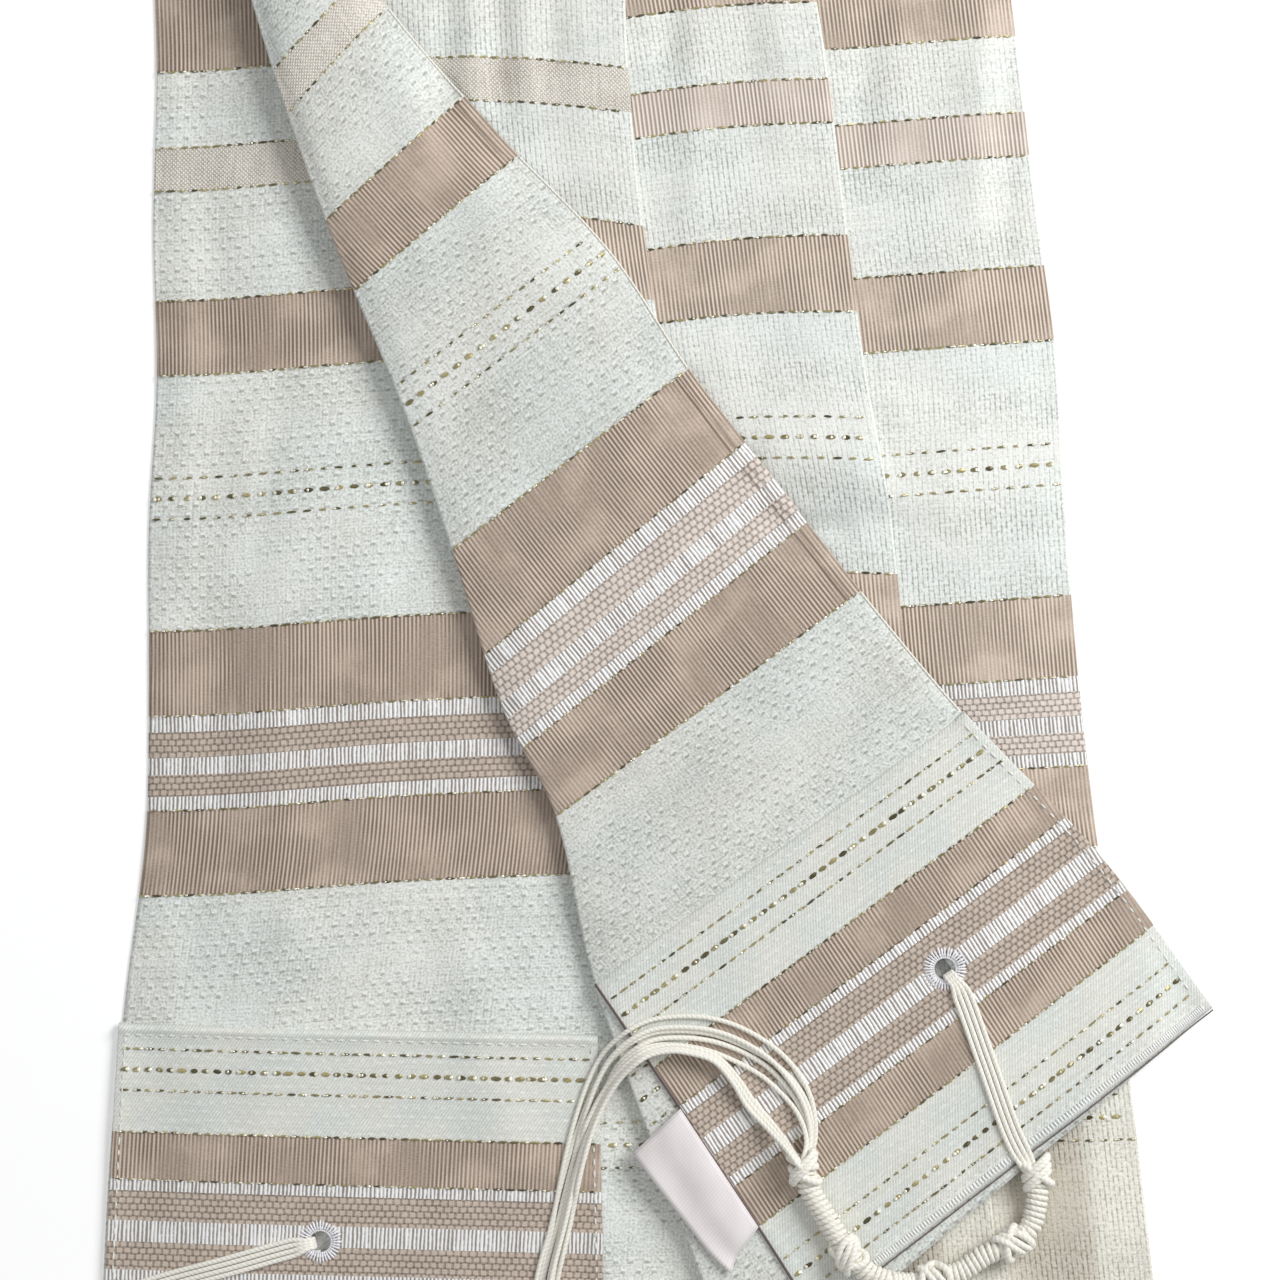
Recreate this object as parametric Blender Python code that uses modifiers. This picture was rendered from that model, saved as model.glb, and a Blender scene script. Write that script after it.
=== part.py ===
"""A tallit prayer shawl, folded and laid flat, with its corner patches, label and knotted tassels.

Metres, +Z up. The shawl rests on z = 0 with its length along Y. The back half lies below in
three knife pleats, the front half lies over it as a long strip, and both meet at the neck fold.
Tables are in millimetres: x across, and up = the distance along Y from the hem of the back half.
"""

import math
from collections import namedtuple

import bmesh
import bpy
from mathutils import Vector
from mathutils.bvhtree import BVHTree

MM = 0.001

# The cloth, in millimetres
HALF_LENGTH = 900.0
WALL = 1.2
TRIM_WALL = 1.0
LAYER_GAP = 0.4
PATCH_GAP = 0.35

# The pile of hidden cloth under the pleats
SLAB_HEIGHT_AT_HEM = 2.6
SLAB_HEIGHT_AT_NECK = 4.4
SLAB_RIGHT_INSET = 18.5
SLAB_END = 886.0
SLAB_FIRST_ROW = 30.0
SLAB_RISE_START, SLAB_RISE_END = 350.0, 850.0
SHOULDER_START = 10.0
SHOULDER_WIDTH = 28.0
FULL_SHOULDER_PANEL = 80.0
HemStep = namedtuple("HemStep", "inset height_share")
HEM_STEPS = (
    HemStep(3.0, 0.3),
    HemStep(4.5, 0.34),
    HemStep(4.8, 0.64),
    HemStep(6.3, 0.68),
    HemStep(6.6, 1.0),
)

# The folded layer beyond the third pleat, whose edge comes out from below it at two places
UNDER_LAYER_WIDTH = 16.0
UNDER_LAYER_HEM_INSET = 4.0
UNDER_EDGE_TUCK = 3.0
UNDER_EDGE_REACH = 2.8
UPPER_SHOWING_START, UPPER_SHOWING_FULL = 268.0, 300.0
LOWER_SHOWING_START, LOWER_SHOWING_FULL = 178.0, 188.0
LOWER_SHOWING_FADES, LOWER_SHOWING_ENDS = 212.0, 226.0

# The pleats: each folded edge stands over the tucked edge of the next one
MOST_OVERLAP = 11.0
FULL_PLEAT_WIDTH = 34.0
LEFT_PANEL_SHARE = 0.2
PLEAT_SHARE = 0.28
FOLD_RISE = 1.75
RIGHT_EDGE_HEIGHT = 1.65
PANEL_END = 888.0

# Columns of points: millimetres in from the left selvage, shares of the flat middle, and overlaps
# before a folded edge
SHOULDER_COLUMNS = (0.0, 10.0, 18.0, 28.0, 38.0)
FOLD_COLUMNS = (2.2, 1.2, 0.5)
LEFT_PANEL_LAST_COLUMN = 12
LEFT_PANEL_FLAT_COLUMN = 9
BACK_PATCH_LAST_COLUMN = 8
PLEAT_LAST_COLUMN = 7
PLEAT_FLAT_COLUMN = 4

# The front strip and the neck fold, where it turns down over the ends of the pleats
STRIP_CLEARANCE = 0.5
STRIP_EASING_ROUNDS = 2
GROUND_PROBE = 12.0
TURNED_EDGE_WIDTH = 5.0
SELVAGE_SLOPE_START = 0.72
CORE_GAP = 0.45
NECK_START = 889.0
NECK_DEPTH = 13.0
FLOOR_CLEARANCE = 0.4

# The corner patches, their eyelets and the label
BACK_PATCH_TOP = 105.0
BACK_PATCH_HEM_INSET = 0.5
PATCH_FRACTION = 0.84
MIDDLE_SHARES = (0.21, 0.42, 0.63, PATCH_FRACTION, 1.0)
FRONT_PATCH_TOP = 101.0
PATCH_EDGE_TOP = (-9.5, 118.2)
PATCH_EDGE_HEM = (48.7, 27.6)
EYELET_RADIUS = 3.0
EYELET_SIDES = 12
EYELET_CUTTER_HEIGHT = 60.0
BACK_EYELET = (-81.6, 49.5)
FRONT_EYELET = (82.6, 121.6)
LABEL_SEAM_TOP = (12.6, 84.6)
LABEL_SEAM_BOTTOM = (33.2, 53.6)
LABEL_REACH = (-12.0, -12.3)
LABEL_COLUMNS, LABEL_ROWS = 5, 8
LABEL_PROBE = 5.0

# The tassels: cords doubled through the eyelet, so that there are twice as many strands
CORDS = 4
CORD_RADIUS = 0.65
CORD_PITCH = 1.7
CORD_PROBE = 0.8
LAYER_PITCH = 1.75
WINDING_RADIUS = 3.0
KNOT_RADIUS = 4.2
STEP_ALONG_CORD = 9.0
STEP_ALONG_WINDING = 6.0
STEP_ALONG_STRAND = 15.0
REACH_INTO_KNOT = 0.4
PLUG_RADIUS = 2.2
PLUG_DEPTH = 3.2
PLUG_RISE = 1.2
RIM_PROBE = 1.0
CORD_RISE_AT_RIM = 0.3
CORD_START_SHARE = 0.5
STRAND_PITCH = 1.9
STRAND_SPREAD_AT_KNOT = 0.45
STRAND_SPREAD_GAIN = 0.75
STRAND_SPREAD_AT_END = 1.3
STRAND_POINTS_AT_KNOT = 3
STRAND_POINTS_AT_END = 6
LAYER_SIDE_SHIFT = 0.25
LAYER_PITCH_AT_KNOT = 1.4
STRAND_SHARE_AT_KNOT = 0.8
SHORTER_STRANDS = (0, 5)

# How finely curves are followed, and the angle from which an edge is shaded sharp
CURVE_STEPS = 12
SHARP_ANGLE = 50.0

# Where the folded edges of the back half lie, from its hem up to the neck
Level = namedtuple("Level", "up left_edge first_fold second_fold third_fold right_edge")
LEVELS = (
    Level(0, -140.0, 31.0, 61.0, 101.0, 142.6),
    Level(40, -139.2, 29.5, 57.9, 97.4, 137.9),
    Level(80, -137.0, 26.3, 51.0, 92.6, 133.2),
    Level(120, -132.9, 19.7, 43.0, 85.5, 128.4),
    Level(160, -127.9, 5.3, 34.5, 78.9, 122.4),
    Level(200, -127.1, -10.5, 26.0, 72.9, 117.9),
    Level(240, -127.1, -26.8, 17.5, 68.7, 114.7),
    Level(280, -125.0, -44.2, 9.5, 61.6, 112.4),
    Level(320, -125.9, -60.0, 3.2, 56.3, 107.1),
    Level(360, -125.0, -73.7, -0.5, 51.3, 102.4),
    Level(400, -125.8, -82.0, -2.1, 44.7, 97.2),
    Level(460, -123.7, -84.5, -6.6, 38.2, 88.0),
    Level(540, -119.0, -83.0, -13.7, 28.4, 73.0),
    Level(640, -111.8, -78.0, -22.4, 16.3, 56.0),
    Level(740, -104.0, -71.0, -30.0, 6.0, 41.0),
    Level(820, -98.0, -66.0, -34.5, -2.0, 30.3),
    Level(900, -90.8, -61.0, -36.0, -8.0, 19.7),
)

# Each pleat's own lines: the edge before it, its start, its fold and the next fold
FIRST_PLEAT = ("left_edge", "first_fold", "second_fold", "third_fold")
SECOND_PLEAT = ("first_fold", "second_fold", "third_fold", "right_edge")
THIRD_PLEAT = ("second_fold", "third_fold", "right_edge", None)

# How far the hem of each stretch lies from the hem line, as the pleats creep upwards
HEM_OF_LEFT_PANEL = -2.0
HEM_OF_FIRST_PLEAT = 18.0
HEM_OF_SECOND_PLEAT = 12.6
HEM_OF_THIRD_PLEAT = 10.0

# The heights along the pleats where the walls have a row of points
ROWS_UP = (22, 40, 60, 82, 105, 130, 160, 190, 220, 250, 280, 310, 340, 370, 400,
           440, 480, 520, 560, 600, 650, 700, 750, 800, 845, 875)
LEAST_FIRST_STEP = 6.0

# Soft folds that run down the cloth: a low ridge, or a trough where the height is negative
FOLD_END_OUTSIDE, FOLD_END_INSIDE = -0.02, 0.2
SoftFold = namedtuple("SoftFold", "x_low up_low x_high up_high half_width height")
SOFT_FOLDS = (
    SoftFold(-104, 120, -98, 350, 12, 0.9),
    SoftFold(-62, 20, -78, 280, 14, 1.0),
    SoftFold(-20, -5, -40, 190, 13, 0.9),
    SoftFold(-52, 300, -54, 420, 9, -0.7),
    SoftFold(-30, 290, -33, 400, 8, 0.9),
    SoftFold(30, 250, 33, 420, 10, 0.8),
    SoftFold(40, 243, 66, 238, 5, -0.8),
    SoftFold(38, 256, 64, 251, 6, 0.9),
    SoftFold(88, 200, 84, 400, 10, 0.8),
    SoftFold(120, -5, 116, 70, 7, -0.8),
    SoftFold(107, -5, 103, 90, 7, 1.0),
    SoftFold(-100, 430, -94, 820, 10, 0.9),
    SoftFold(-38, 430, -46, 800, 12, 1.0),
    SoftFold(20, 430, -12, 820, 9, 0.8),
    SoftFold(66, 420, 14, 830, 9, 0.9),
)

# The front strip, each rung square across its cloth from the turned edge to the selvage
Rung = namedtuple("Rung", "along left_x left_up right_x right_up fullness")
RUNGS = (
    Rung(0, 30.3, 7.9, 153.4, 110.8, 1.5),
    Rung(51, 10.3, 63.4, 122.9, 151.6, 1.6),
    Rung(102, -9.5, 118.2, 87.4, 188.9, 1.7),
    Rung(144, -19.7, 161.8, 60.5, 221.1, 2.0),
    Rung(179, -33.7, 190.3, 38.4, 249.7, 2.4),
    Rung(213, -46.6, 230.8, 15.8, 278.9, 3.0),
    Rung(248, -59.5, 268.4, -5.3, 310.3, 3.8),
    Rung(291, -76.3, 308.7, -36.6, 343.2, 5.4),
    Rung(335, -91.6, 351.0, -66.5, 378.4, 7.6),
    Rung(372, -102.6, 388.0, -78.9, 403.9, 9.5),
    Rung(420, -110.0, 424.0, -83.2, 428.0, 11.0),
    Rung(480, -115.3, 474.0, -84.2, 475.0, 12.0),
    Rung(560, -115.0, 545.0, -81.0, 545.0, 12.0),
    Rung(660, -111.8, 645.0, -75.0, 645.0, 11.5),
    Rung(760, -105.8, 747.0, -60.5, 747.0, 10.0),
    Rung(840, -98.7, 826.0, -28.9, 826.0, 7.5),
    Rung(900, -90.8, NECK_START, 18.0, NECK_START, 5.5),
)
ROWS_ALONG = (0, 20, 40, 60, 80, 101, 122, 144, 168, 192, 214, 238, 262, 286, 310, 335, 360,
              385, 415, 450, 490, 530, 570, 615, 660, 710, 760, 805, 840, 872, 900)
ACROSS_STRIP = (0.0, 0.025, 0.07, 0.14, 0.26, 0.4, 0.54, 0.67, 0.8, 0.88, 0.95, 1.0)
CORE_FIRST_COLUMN, CORE_LAST_COLUMN = 3, 8
NECK_TURNS = (30.0, 52.0, 72.0, 90.0)
ROLL_BEGINS, ROLL_ENDS = 290.0, 400.0

# The routes of the tassels, as (x, up), with the radius of the wound part beside each point
Tassel = namedtuple("Tassel", "name lies_on eyelet cords wound strands")
TASSELS = (
    Tassel(
        "tassel_front_corner",
        "shawl",
        FRONT_EYELET,
        ((83.6, 119.4), (86.8, 115.5), (93.4, 97.4), (100.0, 78.9), (105.6, 68.0)),
        ((106.8, 68.0, KNOT_RADIUS), (107.1, 62.0, WINDING_RADIUS), (105.3, 53.5, WINDING_RADIUS),
         (100.5, 49.5, KNOT_RADIUS), (93.5, 46.5, WINDING_RADIUS), (86.1, 41.6, WINDING_RADIUS),
         (79.7, 40.5, KNOT_RADIUS), (72.4, 39.0, WINDING_RADIUS), (63.2, 41.6, WINDING_RADIUS),
         (57.4, 47.0, KNOT_RADIUS), (52.0, 55.5, WINDING_RADIUS), (47.1, 63.9, WINDING_RADIUS),
         (45.5, 69.5, KNOT_RADIUS)),
        ((45.5, 71.0), (42.6, 83.7), (35.8, 92.6), (27.1, 98.4), (18.4, 101.6), (10.0, 102.6),
         (2.6, 101.1), (-3.4, 95.8), (-7.9, 88.2), (-12.1, 76.3), (-15.5, 63.2), (-17.6, 51.3),
         (-20.3, 39.5), (-23.7, 18.4), (-27.3, -7.9), (-32.4, -34.2)),
    ),
    Tassel(
        "tassel_back_corner",
        "shawl",
        BACK_EYELET,
        ((-83.0, 49.2), (-90.0, 47.6), (-104.0, 43.6), (-126.0, 37.4), (-137.0, 32.6),
         (-144.0, 25.5)),
        ((-145.0, 24.0, KNOT_RADIUS), (-146.6, 14.0, WINDING_RADIUS),
         (-147.2, 5.0, WINDING_RADIUS), (-147.0, -3.0, KNOT_RADIUS),
         (-146.0, -14.0, WINDING_RADIUS), (-144.0, -24.0, WINDING_RADIUS),
         (-141.5, -33.0, KNOT_RADIUS), (-138.0, -44.0, WINDING_RADIUS),
         (-134.0, -54.0, WINDING_RADIUS), (-129.5, -63.0, KNOT_RADIUS)),
        ((-128.8, -64.5), (-120.0, -80.0), (-108.0, -97.0), (-93.0, -113.0), (-76.0, -127.0),
         (-58.0, -139.0), (-40.0, -151.0), (-24.0, -164.0), (-11.0, -180.0), (-2.0, -198.0),
         (4.0, -216.0)),
    ),
    Tassel(
        "tassel_back_turned_corner",
        "floor",
        None,
        ((111.8, 12.4), (112.2, 4.0), (113.2, -5.0), (114.0, -10.5)),
        ((114.0, -12.0, KNOT_RADIUS), (115.5, -22.0, WINDING_RADIUS),
         (117.6, -31.0, WINDING_RADIUS), (120.0, -39.5, KNOT_RADIUS),
         (122.6, -50.0, WINDING_RADIUS), (124.2, -60.0, WINDING_RADIUS),
         (124.6, -69.0, KNOT_RADIUS), (123.8, -80.0, WINDING_RADIUS),
         (121.6, -90.0, WINDING_RADIUS), (118.4, -99.0, KNOT_RADIUS)),
        ((117.8, -100.5), (110.0, -117.0), (101.0, -134.0), (93.0, -152.0), (88.0, -171.0),
         (87.0, -190.0), (90.0, -209.0), (97.0, -227.0), (108.0, -243.0), (121.0, -257.0)),
    ),
    Tassel(
        "tassel_front_turned_corner",
        "back half",
        None,
        ((45.0, 17.0), (45.4, 10.0), (46.4, 2.0), (47.2, -5.0)),
        ((47.4, -8.0, KNOT_RADIUS), (47.4, -18.0, WINDING_RADIUS),
         (46.4, -28.0, WINDING_RADIUS), (44.6, -37.0, KNOT_RADIUS),
         (42.0, -48.0, WINDING_RADIUS), (38.8, -58.0, WINDING_RADIUS),
         (35.0, -67.0, KNOT_RADIUS), (31.0, -78.0, WINDING_RADIUS),
         (28.4, -88.0, WINDING_RADIUS), (27.0, -97.0, KNOT_RADIUS)),
        ((26.8, -98.5), (26.0, -115.0), (28.0, -133.0), (33.0, -151.0), (40.0, -168.0),
         (47.0, -186.0), (51.0, -205.0), (50.0, -224.0), (44.0, -242.0), (35.0, -259.0)),
    ),
)

# Colours: white cotton cloth, the tan and white of the woven corner patches, satin and cord
WHITE_CLOTH = (0.79, 0.80, 0.74)
HIDDEN_CLOTH = (0.72, 0.72, 0.66)
PATCH_CLOTH = (0.66, 0.58, 0.50)
SATIN = (0.80, 0.78, 0.80)
TASSEL_CORD = (0.80, 0.78, 0.66)


def cloth_material(name, colour, roughness):
    material = bpy.data.materials.new(name)
    material.use_nodes = True
    shader = material.node_tree.nodes["Principled BSDF"]
    shader.inputs["Base Color"].default_value = (*colour, 1.0)
    shader.inputs["Roughness"].default_value = roughness
    shader.inputs["Metallic"].default_value = 0.0
    return material


def smooth_between(value, low, high):
    t = min(1.0, max(0.0, (value - low) / (high - low)))
    return t * t * (3.0 - 2.0 * t)


def along_table(rows, key, column, value):
    """Reads a column of a table at a value of its key, on a smooth curve through the rows."""
    keys = [getattr(row, key) for row in rows]
    values = [getattr(row, column) for row in rows]
    last = len(rows) - 1
    here = max(0, min(last - 1, sum(1 for k in keys[1:] if k <= value)))

    def slope(i):
        low, high = max(0, i - 1), min(last, i + 1)
        return (values[high] - values[low]) / (keys[high] - keys[low])

    span = keys[here + 1] - keys[here]
    t = (value - keys[here]) / span
    return (
        values[here] * (2 * t**3 - 3 * t**2 + 1)
        + values[here + 1] * (3 * t**2 - 2 * t**3)
        + slope(here) * span * (t**3 - 2 * t**2 + t)
        + slope(here + 1) * span * (t**3 - t**2)
    )


def level(column, up):
    return along_table(LEVELS, "up", column, max(0.0, min(HALF_LENGTH, up)))


def overlap(covering, folded_edge, covered, up):
    """How far the panel that ends at a folded edge lies over the next one."""
    own_width = level(folded_edge, up) - level(covering, up)
    next_width = level(covered, up) - level(folded_edge, up)
    own_share = LEFT_PANEL_SHARE if covering == "left_edge" else PLEAT_SHARE
    return min(MOST_OVERLAP, own_share * own_width, PLEAT_SHARE * next_width)


def soft_folds(x, up):
    height = 0.0
    for fold in SOFT_FOLDS:
        run = Vector((fold.x_high - fold.x_low, fold.up_high - fold.up_low))
        place = Vector((x - fold.x_low, up - fold.up_low))
        t = place.dot(run) / run.length_squared
        nearest = run * min(1.0, max(0.0, t))
        ends = smooth_between(t, FOLD_END_OUTSIDE, FOLD_END_INSIDE)
        ends *= smooth_between(1.0 - t, FOLD_END_OUTSIDE, FOLD_END_INSIDE)
        aside = (place - nearest).length / fold.half_width
        height += fold.height * ends * math.exp(-aside * aside)
    return height


def left_scale(up):
    """How much the left shoulder narrows where the left panel does."""
    return min(1.0, (level("first_fold", up) - level("left_edge", up)) / FULL_SHOULDER_PANEL)


def slab_top(x, up):
    """Height of the hidden cloth, which slopes to the floor under the left selvage."""
    full = SLAB_HEIGHT_AT_HEM
    full += (SLAB_HEIGHT_AT_NECK - SLAB_HEIGHT_AT_HEM) * smooth_between(
        up, SLAB_RISE_START, SLAB_RISE_END
    )
    full += soft_folds(x, up)
    inside = (x - level("left_edge", up)) / left_scale(up)
    return full * smooth_between(inside, SHOULDER_START, SHOULDER_START + SHOULDER_WIDTH)


def collection(name, shown=True):
    made = bpy.data.collections.new(name)
    bpy.context.scene.collection.children.link(made)
    made.hide_render = not shown
    return made


def add_object(name, mesh, material, into):
    """Makes a bmesh a named object whose origin is the shawl's own."""
    data = bpy.data.meshes.new(name)
    mesh.to_mesh(data)
    mesh.free()
    data.materials.append(material)
    data.shade_smooth()
    data.set_sharp_from_angle(angle=math.radians(SHARP_ANGLE))
    made = bpy.data.objects.new(name, data)
    into.objects.link(made)
    return made


def grid_of(columns, rows):
    """A flat grid, with one way of halving its squares, and its points as points[row][column]."""
    mesh = bmesh.new()
    bmesh.ops.create_grid(mesh, x_segments=columns, y_segments=rows, size=0.5)
    bmesh.ops.triangulate(mesh, faces=mesh.faces[:], quad_method="FIXED")
    in_order = sorted(mesh.verts, key=lambda v: (round(v.co.y, 5), round(v.co.x, 5)))
    width = columns + 1
    return mesh, [in_order[i:i + width] for i in range(0, len(in_order), width)]


def place_mm(x, up, height):
    return Vector((x, up - HALF_LENGTH / 2, height)) * MM


def thicken(made, wall):
    solidify = made.modifiers.new("cloth thickness", "SOLIDIFY")
    solidify.thickness = wall * MM
    solidify.offset = 1.0
    return solidify


class Pile:
    """The walls laid so far, to find how high the next one has to lie."""

    def __init__(self, trees=()):
        self.trees = list(trees)

    def lay(self, made):
        graph = bpy.context.evaluated_depsgraph_get()
        self.trees.append(BVHTree.FromObject(made, graph))

    def height(self, x, up, spread=0.0):
        """Millimetres from the floor to the highest wall within a spread of a place."""
        steps = (0.0,) if spread == 0.0 else (-spread, -spread / 2, 0.0, spread / 2, spread)
        highest = 0.0
        for aside in steps:
            for further in steps:
                start = place_mm(x + aside, up + further, 100.0)
                for tree in self.trees:
                    hit = tree.ray_cast(start, Vector((0.0, 0.0, -1.0)))[0]
                    if hit is not None:
                        highest = max(highest, hit.z / MM)
        return highest


def rows_from(hem, end):
    return [hem] + [up for up in ROWS_UP if up > hem + LEAST_FIRST_STEP] + [end]


def hem_line(x):
    """How far up the hem of the visible panel lies at this distance across."""
    if x < level("first_fold", 0.0):
        return HEM_OF_LEFT_PANEL
    if x < level("second_fold", 0.0):
        return HEM_OF_FIRST_PLEAT
    if x < level("third_fold", 0.0):
        return HEM_OF_SECOND_PLEAT
    return HEM_OF_THIRD_PLEAT


def left_columns(up):
    """Where the left panel has points: shoulder, middle, patch seam and folded edge."""
    left, right = level("left_edge", up), level("first_fold", up)
    scale = left_scale(up)
    reach = overlap("left_edge", "first_fold", "second_fold", up)
    inner = left + SHOULDER_COLUMNS[-1] * scale
    flat = right - FOLD_COLUMNS[0] * reach
    xs = [left + distance * scale for distance in SHOULDER_COLUMNS]
    xs += [inner + t * (flat - inner) for t in MIDDLE_SHARES]
    return xs + [right - overlaps * reach for overlaps in FOLD_COLUMNS[1:]] + [right]


def pleat_columns(before, start, fold, after, up):
    """Where a pleat has points: tucked edge, middle and folded edge."""
    left, right = level(start, up), level(fold, up)
    tuck = overlap(before, start, fold, up)
    if after is None:
        reach = MOST_OVERLAP * min(1.0, (right - left) / FULL_PLEAT_WIDTH)
    else:
        reach = overlap(start, fold, after, up)
    flat = right - FOLD_COLUMNS[0] * reach
    middle = flat - left
    xs = [left - tuck, left, left + middle / 3, left + middle * 2 / 3, flat]
    return xs + [right - overlaps * reach for overlaps in FOLD_COLUMNS[1:]] + [right]


def slab_columns(up):
    """The panels' own columns, so that the hidden cloth lies parallel to them."""
    xs = left_columns(up)[2:]
    xs += pleat_columns(*FIRST_PLEAT, up)[2:] + pleat_columns(*SECOND_PLEAT, up)[2:]
    return xs + pleat_columns(*THIRD_PLEAT, up)[2:5] + [level("right_edge", up) - SLAB_RIGHT_INSET]


def hidden_layers(into, material):
    """The turned-under cloth as one solid, flat below, with ledges for its layers at the hem."""
    rows = [(None, step.inset, step.height_share) for step in HEM_STEPS]
    rows += [(up, 0.0, 1.0) for up in ROWS_UP if up > SLAB_FIRST_ROW]
    rows += [(SLAB_END, 0.0, 1.0)]
    mesh, points = grid_of(len(slab_columns(0.0)) - 1, len(rows) - 1)
    for row, (up, inset, share) in zip(points, rows):
        for point, x in zip(row, slab_columns(up or 0.0)):
            here = hem_line(x) + inset if up is None else up
            point.co = place_mm(x, here, slab_top(x, here) * share)
    below = bmesh.ops.extrude_face_region(mesh, geom=mesh.faces[:])["geom"]
    for point in below:
        if isinstance(point, bmesh.types.BMVert):
            point.co.z = 0.0
    bmesh.ops.recalc_face_normals(mesh, faces=mesh.faces[:])
    return add_object("hidden_layers", mesh, material, into)


def under_layer(into, material):
    """The folded layer that shows as a narrow margin beyond the third pleat."""
    rows = rows_from(HEM_OF_THIRD_PLEAT + UNDER_LAYER_HEM_INSET, PANEL_END)
    mesh, points = grid_of(2, len(rows) - 1)
    for row, up in zip(points, rows):
        showing = smooth_between(up, LOWER_SHOWING_START, LOWER_SHOWING_FULL)
        showing *= 1.0 - smooth_between(up, LOWER_SHOWING_FADES, LOWER_SHOWING_ENDS)
        showing += smooth_between(up, UPPER_SHOWING_START, UPPER_SHOWING_FULL)
        edge = level("right_edge", up) - UNDER_EDGE_TUCK + UNDER_EDGE_REACH * min(1.0, showing)
        for point, t in zip(row, (0.0, 0.5, 1.0)):
            start = level("right_edge", up) - UNDER_LAYER_WIDTH
            point.co = place_mm(start + t * (edge - start), up, 0.0)
    made = add_object("under_layer_right", mesh, material, into)
    thicken(made, WALL)
    return made


def pleat(name, edges, hem, into, material):
    """A knife pleat: tucked under the panel on its left, its folded edge over the next one."""
    rows = rows_from(hem, PANEL_END)
    mesh, points = grid_of(PLEAT_LAST_COLUMN, len(rows) - 1)
    for row, up in zip(points, rows):
        xs = pleat_columns(*edges, up)
        for point, x in zip(row, xs):
            height = slab_top(x, up) + LAYER_GAP
            if edges is THIRD_PLEAT:
                inward = min(1.0, (xs[-1] - x) / UNDER_LAYER_WIDTH)
                rounding = math.sqrt(1.0 - (1.0 - inward) ** 2)
                height = RIGHT_EDGE_HEIGHT + (height - RIGHT_EDGE_HEIGHT) * rounding
            else:
                flat, raised = xs[PLEAT_FLAT_COLUMN], xs[PLEAT_FLAT_COLUMN + 1]
                height += FOLD_RISE * smooth_between(x, flat, raised)
            point.co = place_mm(x, up, height)
    made = add_object(name, mesh, material, into)
    thicken(made, WALL)
    return made


def left_panel_grid(last_column, rows):
    """The left panel's points: on the floor at its selvage, raised over the first pleat."""
    mesh, points = grid_of(last_column, len(rows) - 1)
    for row, up in zip(points, rows):
        xs = left_columns(up)
        for point, x in zip(row, xs):
            gap = LAYER_GAP * smooth_between(x, xs[0], xs[1])
            flat, raised = xs[LEFT_PANEL_FLAT_COLUMN], xs[LEFT_PANEL_FLAT_COLUMN + 1]
            rise = FOLD_RISE * smooth_between(x, flat, raised)
            point.co = place_mm(x, up, slab_top(x, up) + gap + rise)
    return mesh


def left_panel(into, material):
    mesh = left_panel_grid(LEFT_PANEL_LAST_COLUMN, rows_from(HEM_OF_LEFT_PANEL, PANEL_END))
    made = add_object("back_left_panel", mesh, material, into)
    thicken(made, WALL)
    return made


def move_outwards(mesh, distance):
    mesh.normal_update()
    moves = [(point, point.normal * distance * MM) for point in mesh.verts]
    for point, move in moves:
        point.co += move


def back_patch(into, material):
    """The sewn corner square of the back half, made from the left panel's own points."""
    rows = [HEM_OF_LEFT_PANEL + BACK_PATCH_HEM_INSET] + [up for up in ROWS_UP if up <= BACK_PATCH_TOP]
    mesh = left_panel_grid(BACK_PATCH_LAST_COLUMN, rows)
    move_outwards(mesh, WALL + PATCH_GAP)
    made = add_object("corner_patch_back", mesh, material, into)
    thicken(made, TRIM_WALL)
    return made


def fullness_profile(across, width, along):
    """Height of the strip over its span: a turned edge at the left, or a roll further up."""
    rounded = min(1.0, across * width / TURNED_EDGE_WIDTH)
    flat = math.sqrt(1.0 - (1.0 - rounded) ** 2)
    flat *= 1.0 - smooth_between(across, SELVAGE_SLOPE_START, 1.0)
    roll = 2.0 * math.sqrt(max(0.0, across * (1.0 - across)))
    blend = smooth_between(along, ROLL_BEGINS, ROLL_ENDS)
    return flat + (roll - flat) * blend


def strip_ground(pile):
    """The place of each point of the strip and the height of the pile under it."""
    ground = []
    for along in ROWS_ALONG:
        rung = {c: along_table(RUNGS, "along", c, along) for c in Rung._fields}
        left = Vector((rung["left_x"], rung["left_up"]))
        right = Vector((rung["right_x"], rung["right_up"]))
        width = (right - left).length
        row = []
        for across in ACROSS_STRIP:
            spot = left.lerp(right, across)
            below = pile.height(spot.x, min(spot.y, PANEL_END - GROUND_PROBE), GROUND_PROBE)
            full = rung["fullness"] * fullness_profile(across, width, along)
            row.append([spot.x, spot.y, below, full])
        ground.append(row)
    for _ in range(STRIP_EASING_ROUNDS):
        eased = [[spot[2] for spot in row] for row in ground]
        for i in range(1, len(ground) - 1):
            for j in range(1, len(ACROSS_STRIP) - 1):
                near = eased[i - 1][j] + eased[i + 1][j] + eased[i][j - 1] + eased[i][j + 1]
                ground[i][j][2] = max(eased[i][j], near / 4)
    return ground


def front_strip_grid(ground):
    """The strip's inner face, with the rows that turn down round the neck fold."""
    mesh, points = grid_of(len(ACROSS_STRIP) - 1, len(ground) - 1 + len(NECK_TURNS))
    for row, spots in zip(points, ground):
        for point, (x, up, below, full) in zip(row, spots):
            point.co = place_mm(x, up, below + STRIP_CLEARANCE + full)
    for row, turn in zip(points[len(ground):], NECK_TURNS):
        angle = math.radians(turn)
        for point, (x, up, below, full) in zip(row, ground[-1]):
            top = below + STRIP_CLEARANCE + full - FLOOR_CLEARANCE
            height = FLOOR_CLEARANCE + top * math.cos(angle)
            point.co = place_mm(x, up + NECK_DEPTH * math.sin(angle), height)
    return mesh


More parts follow.
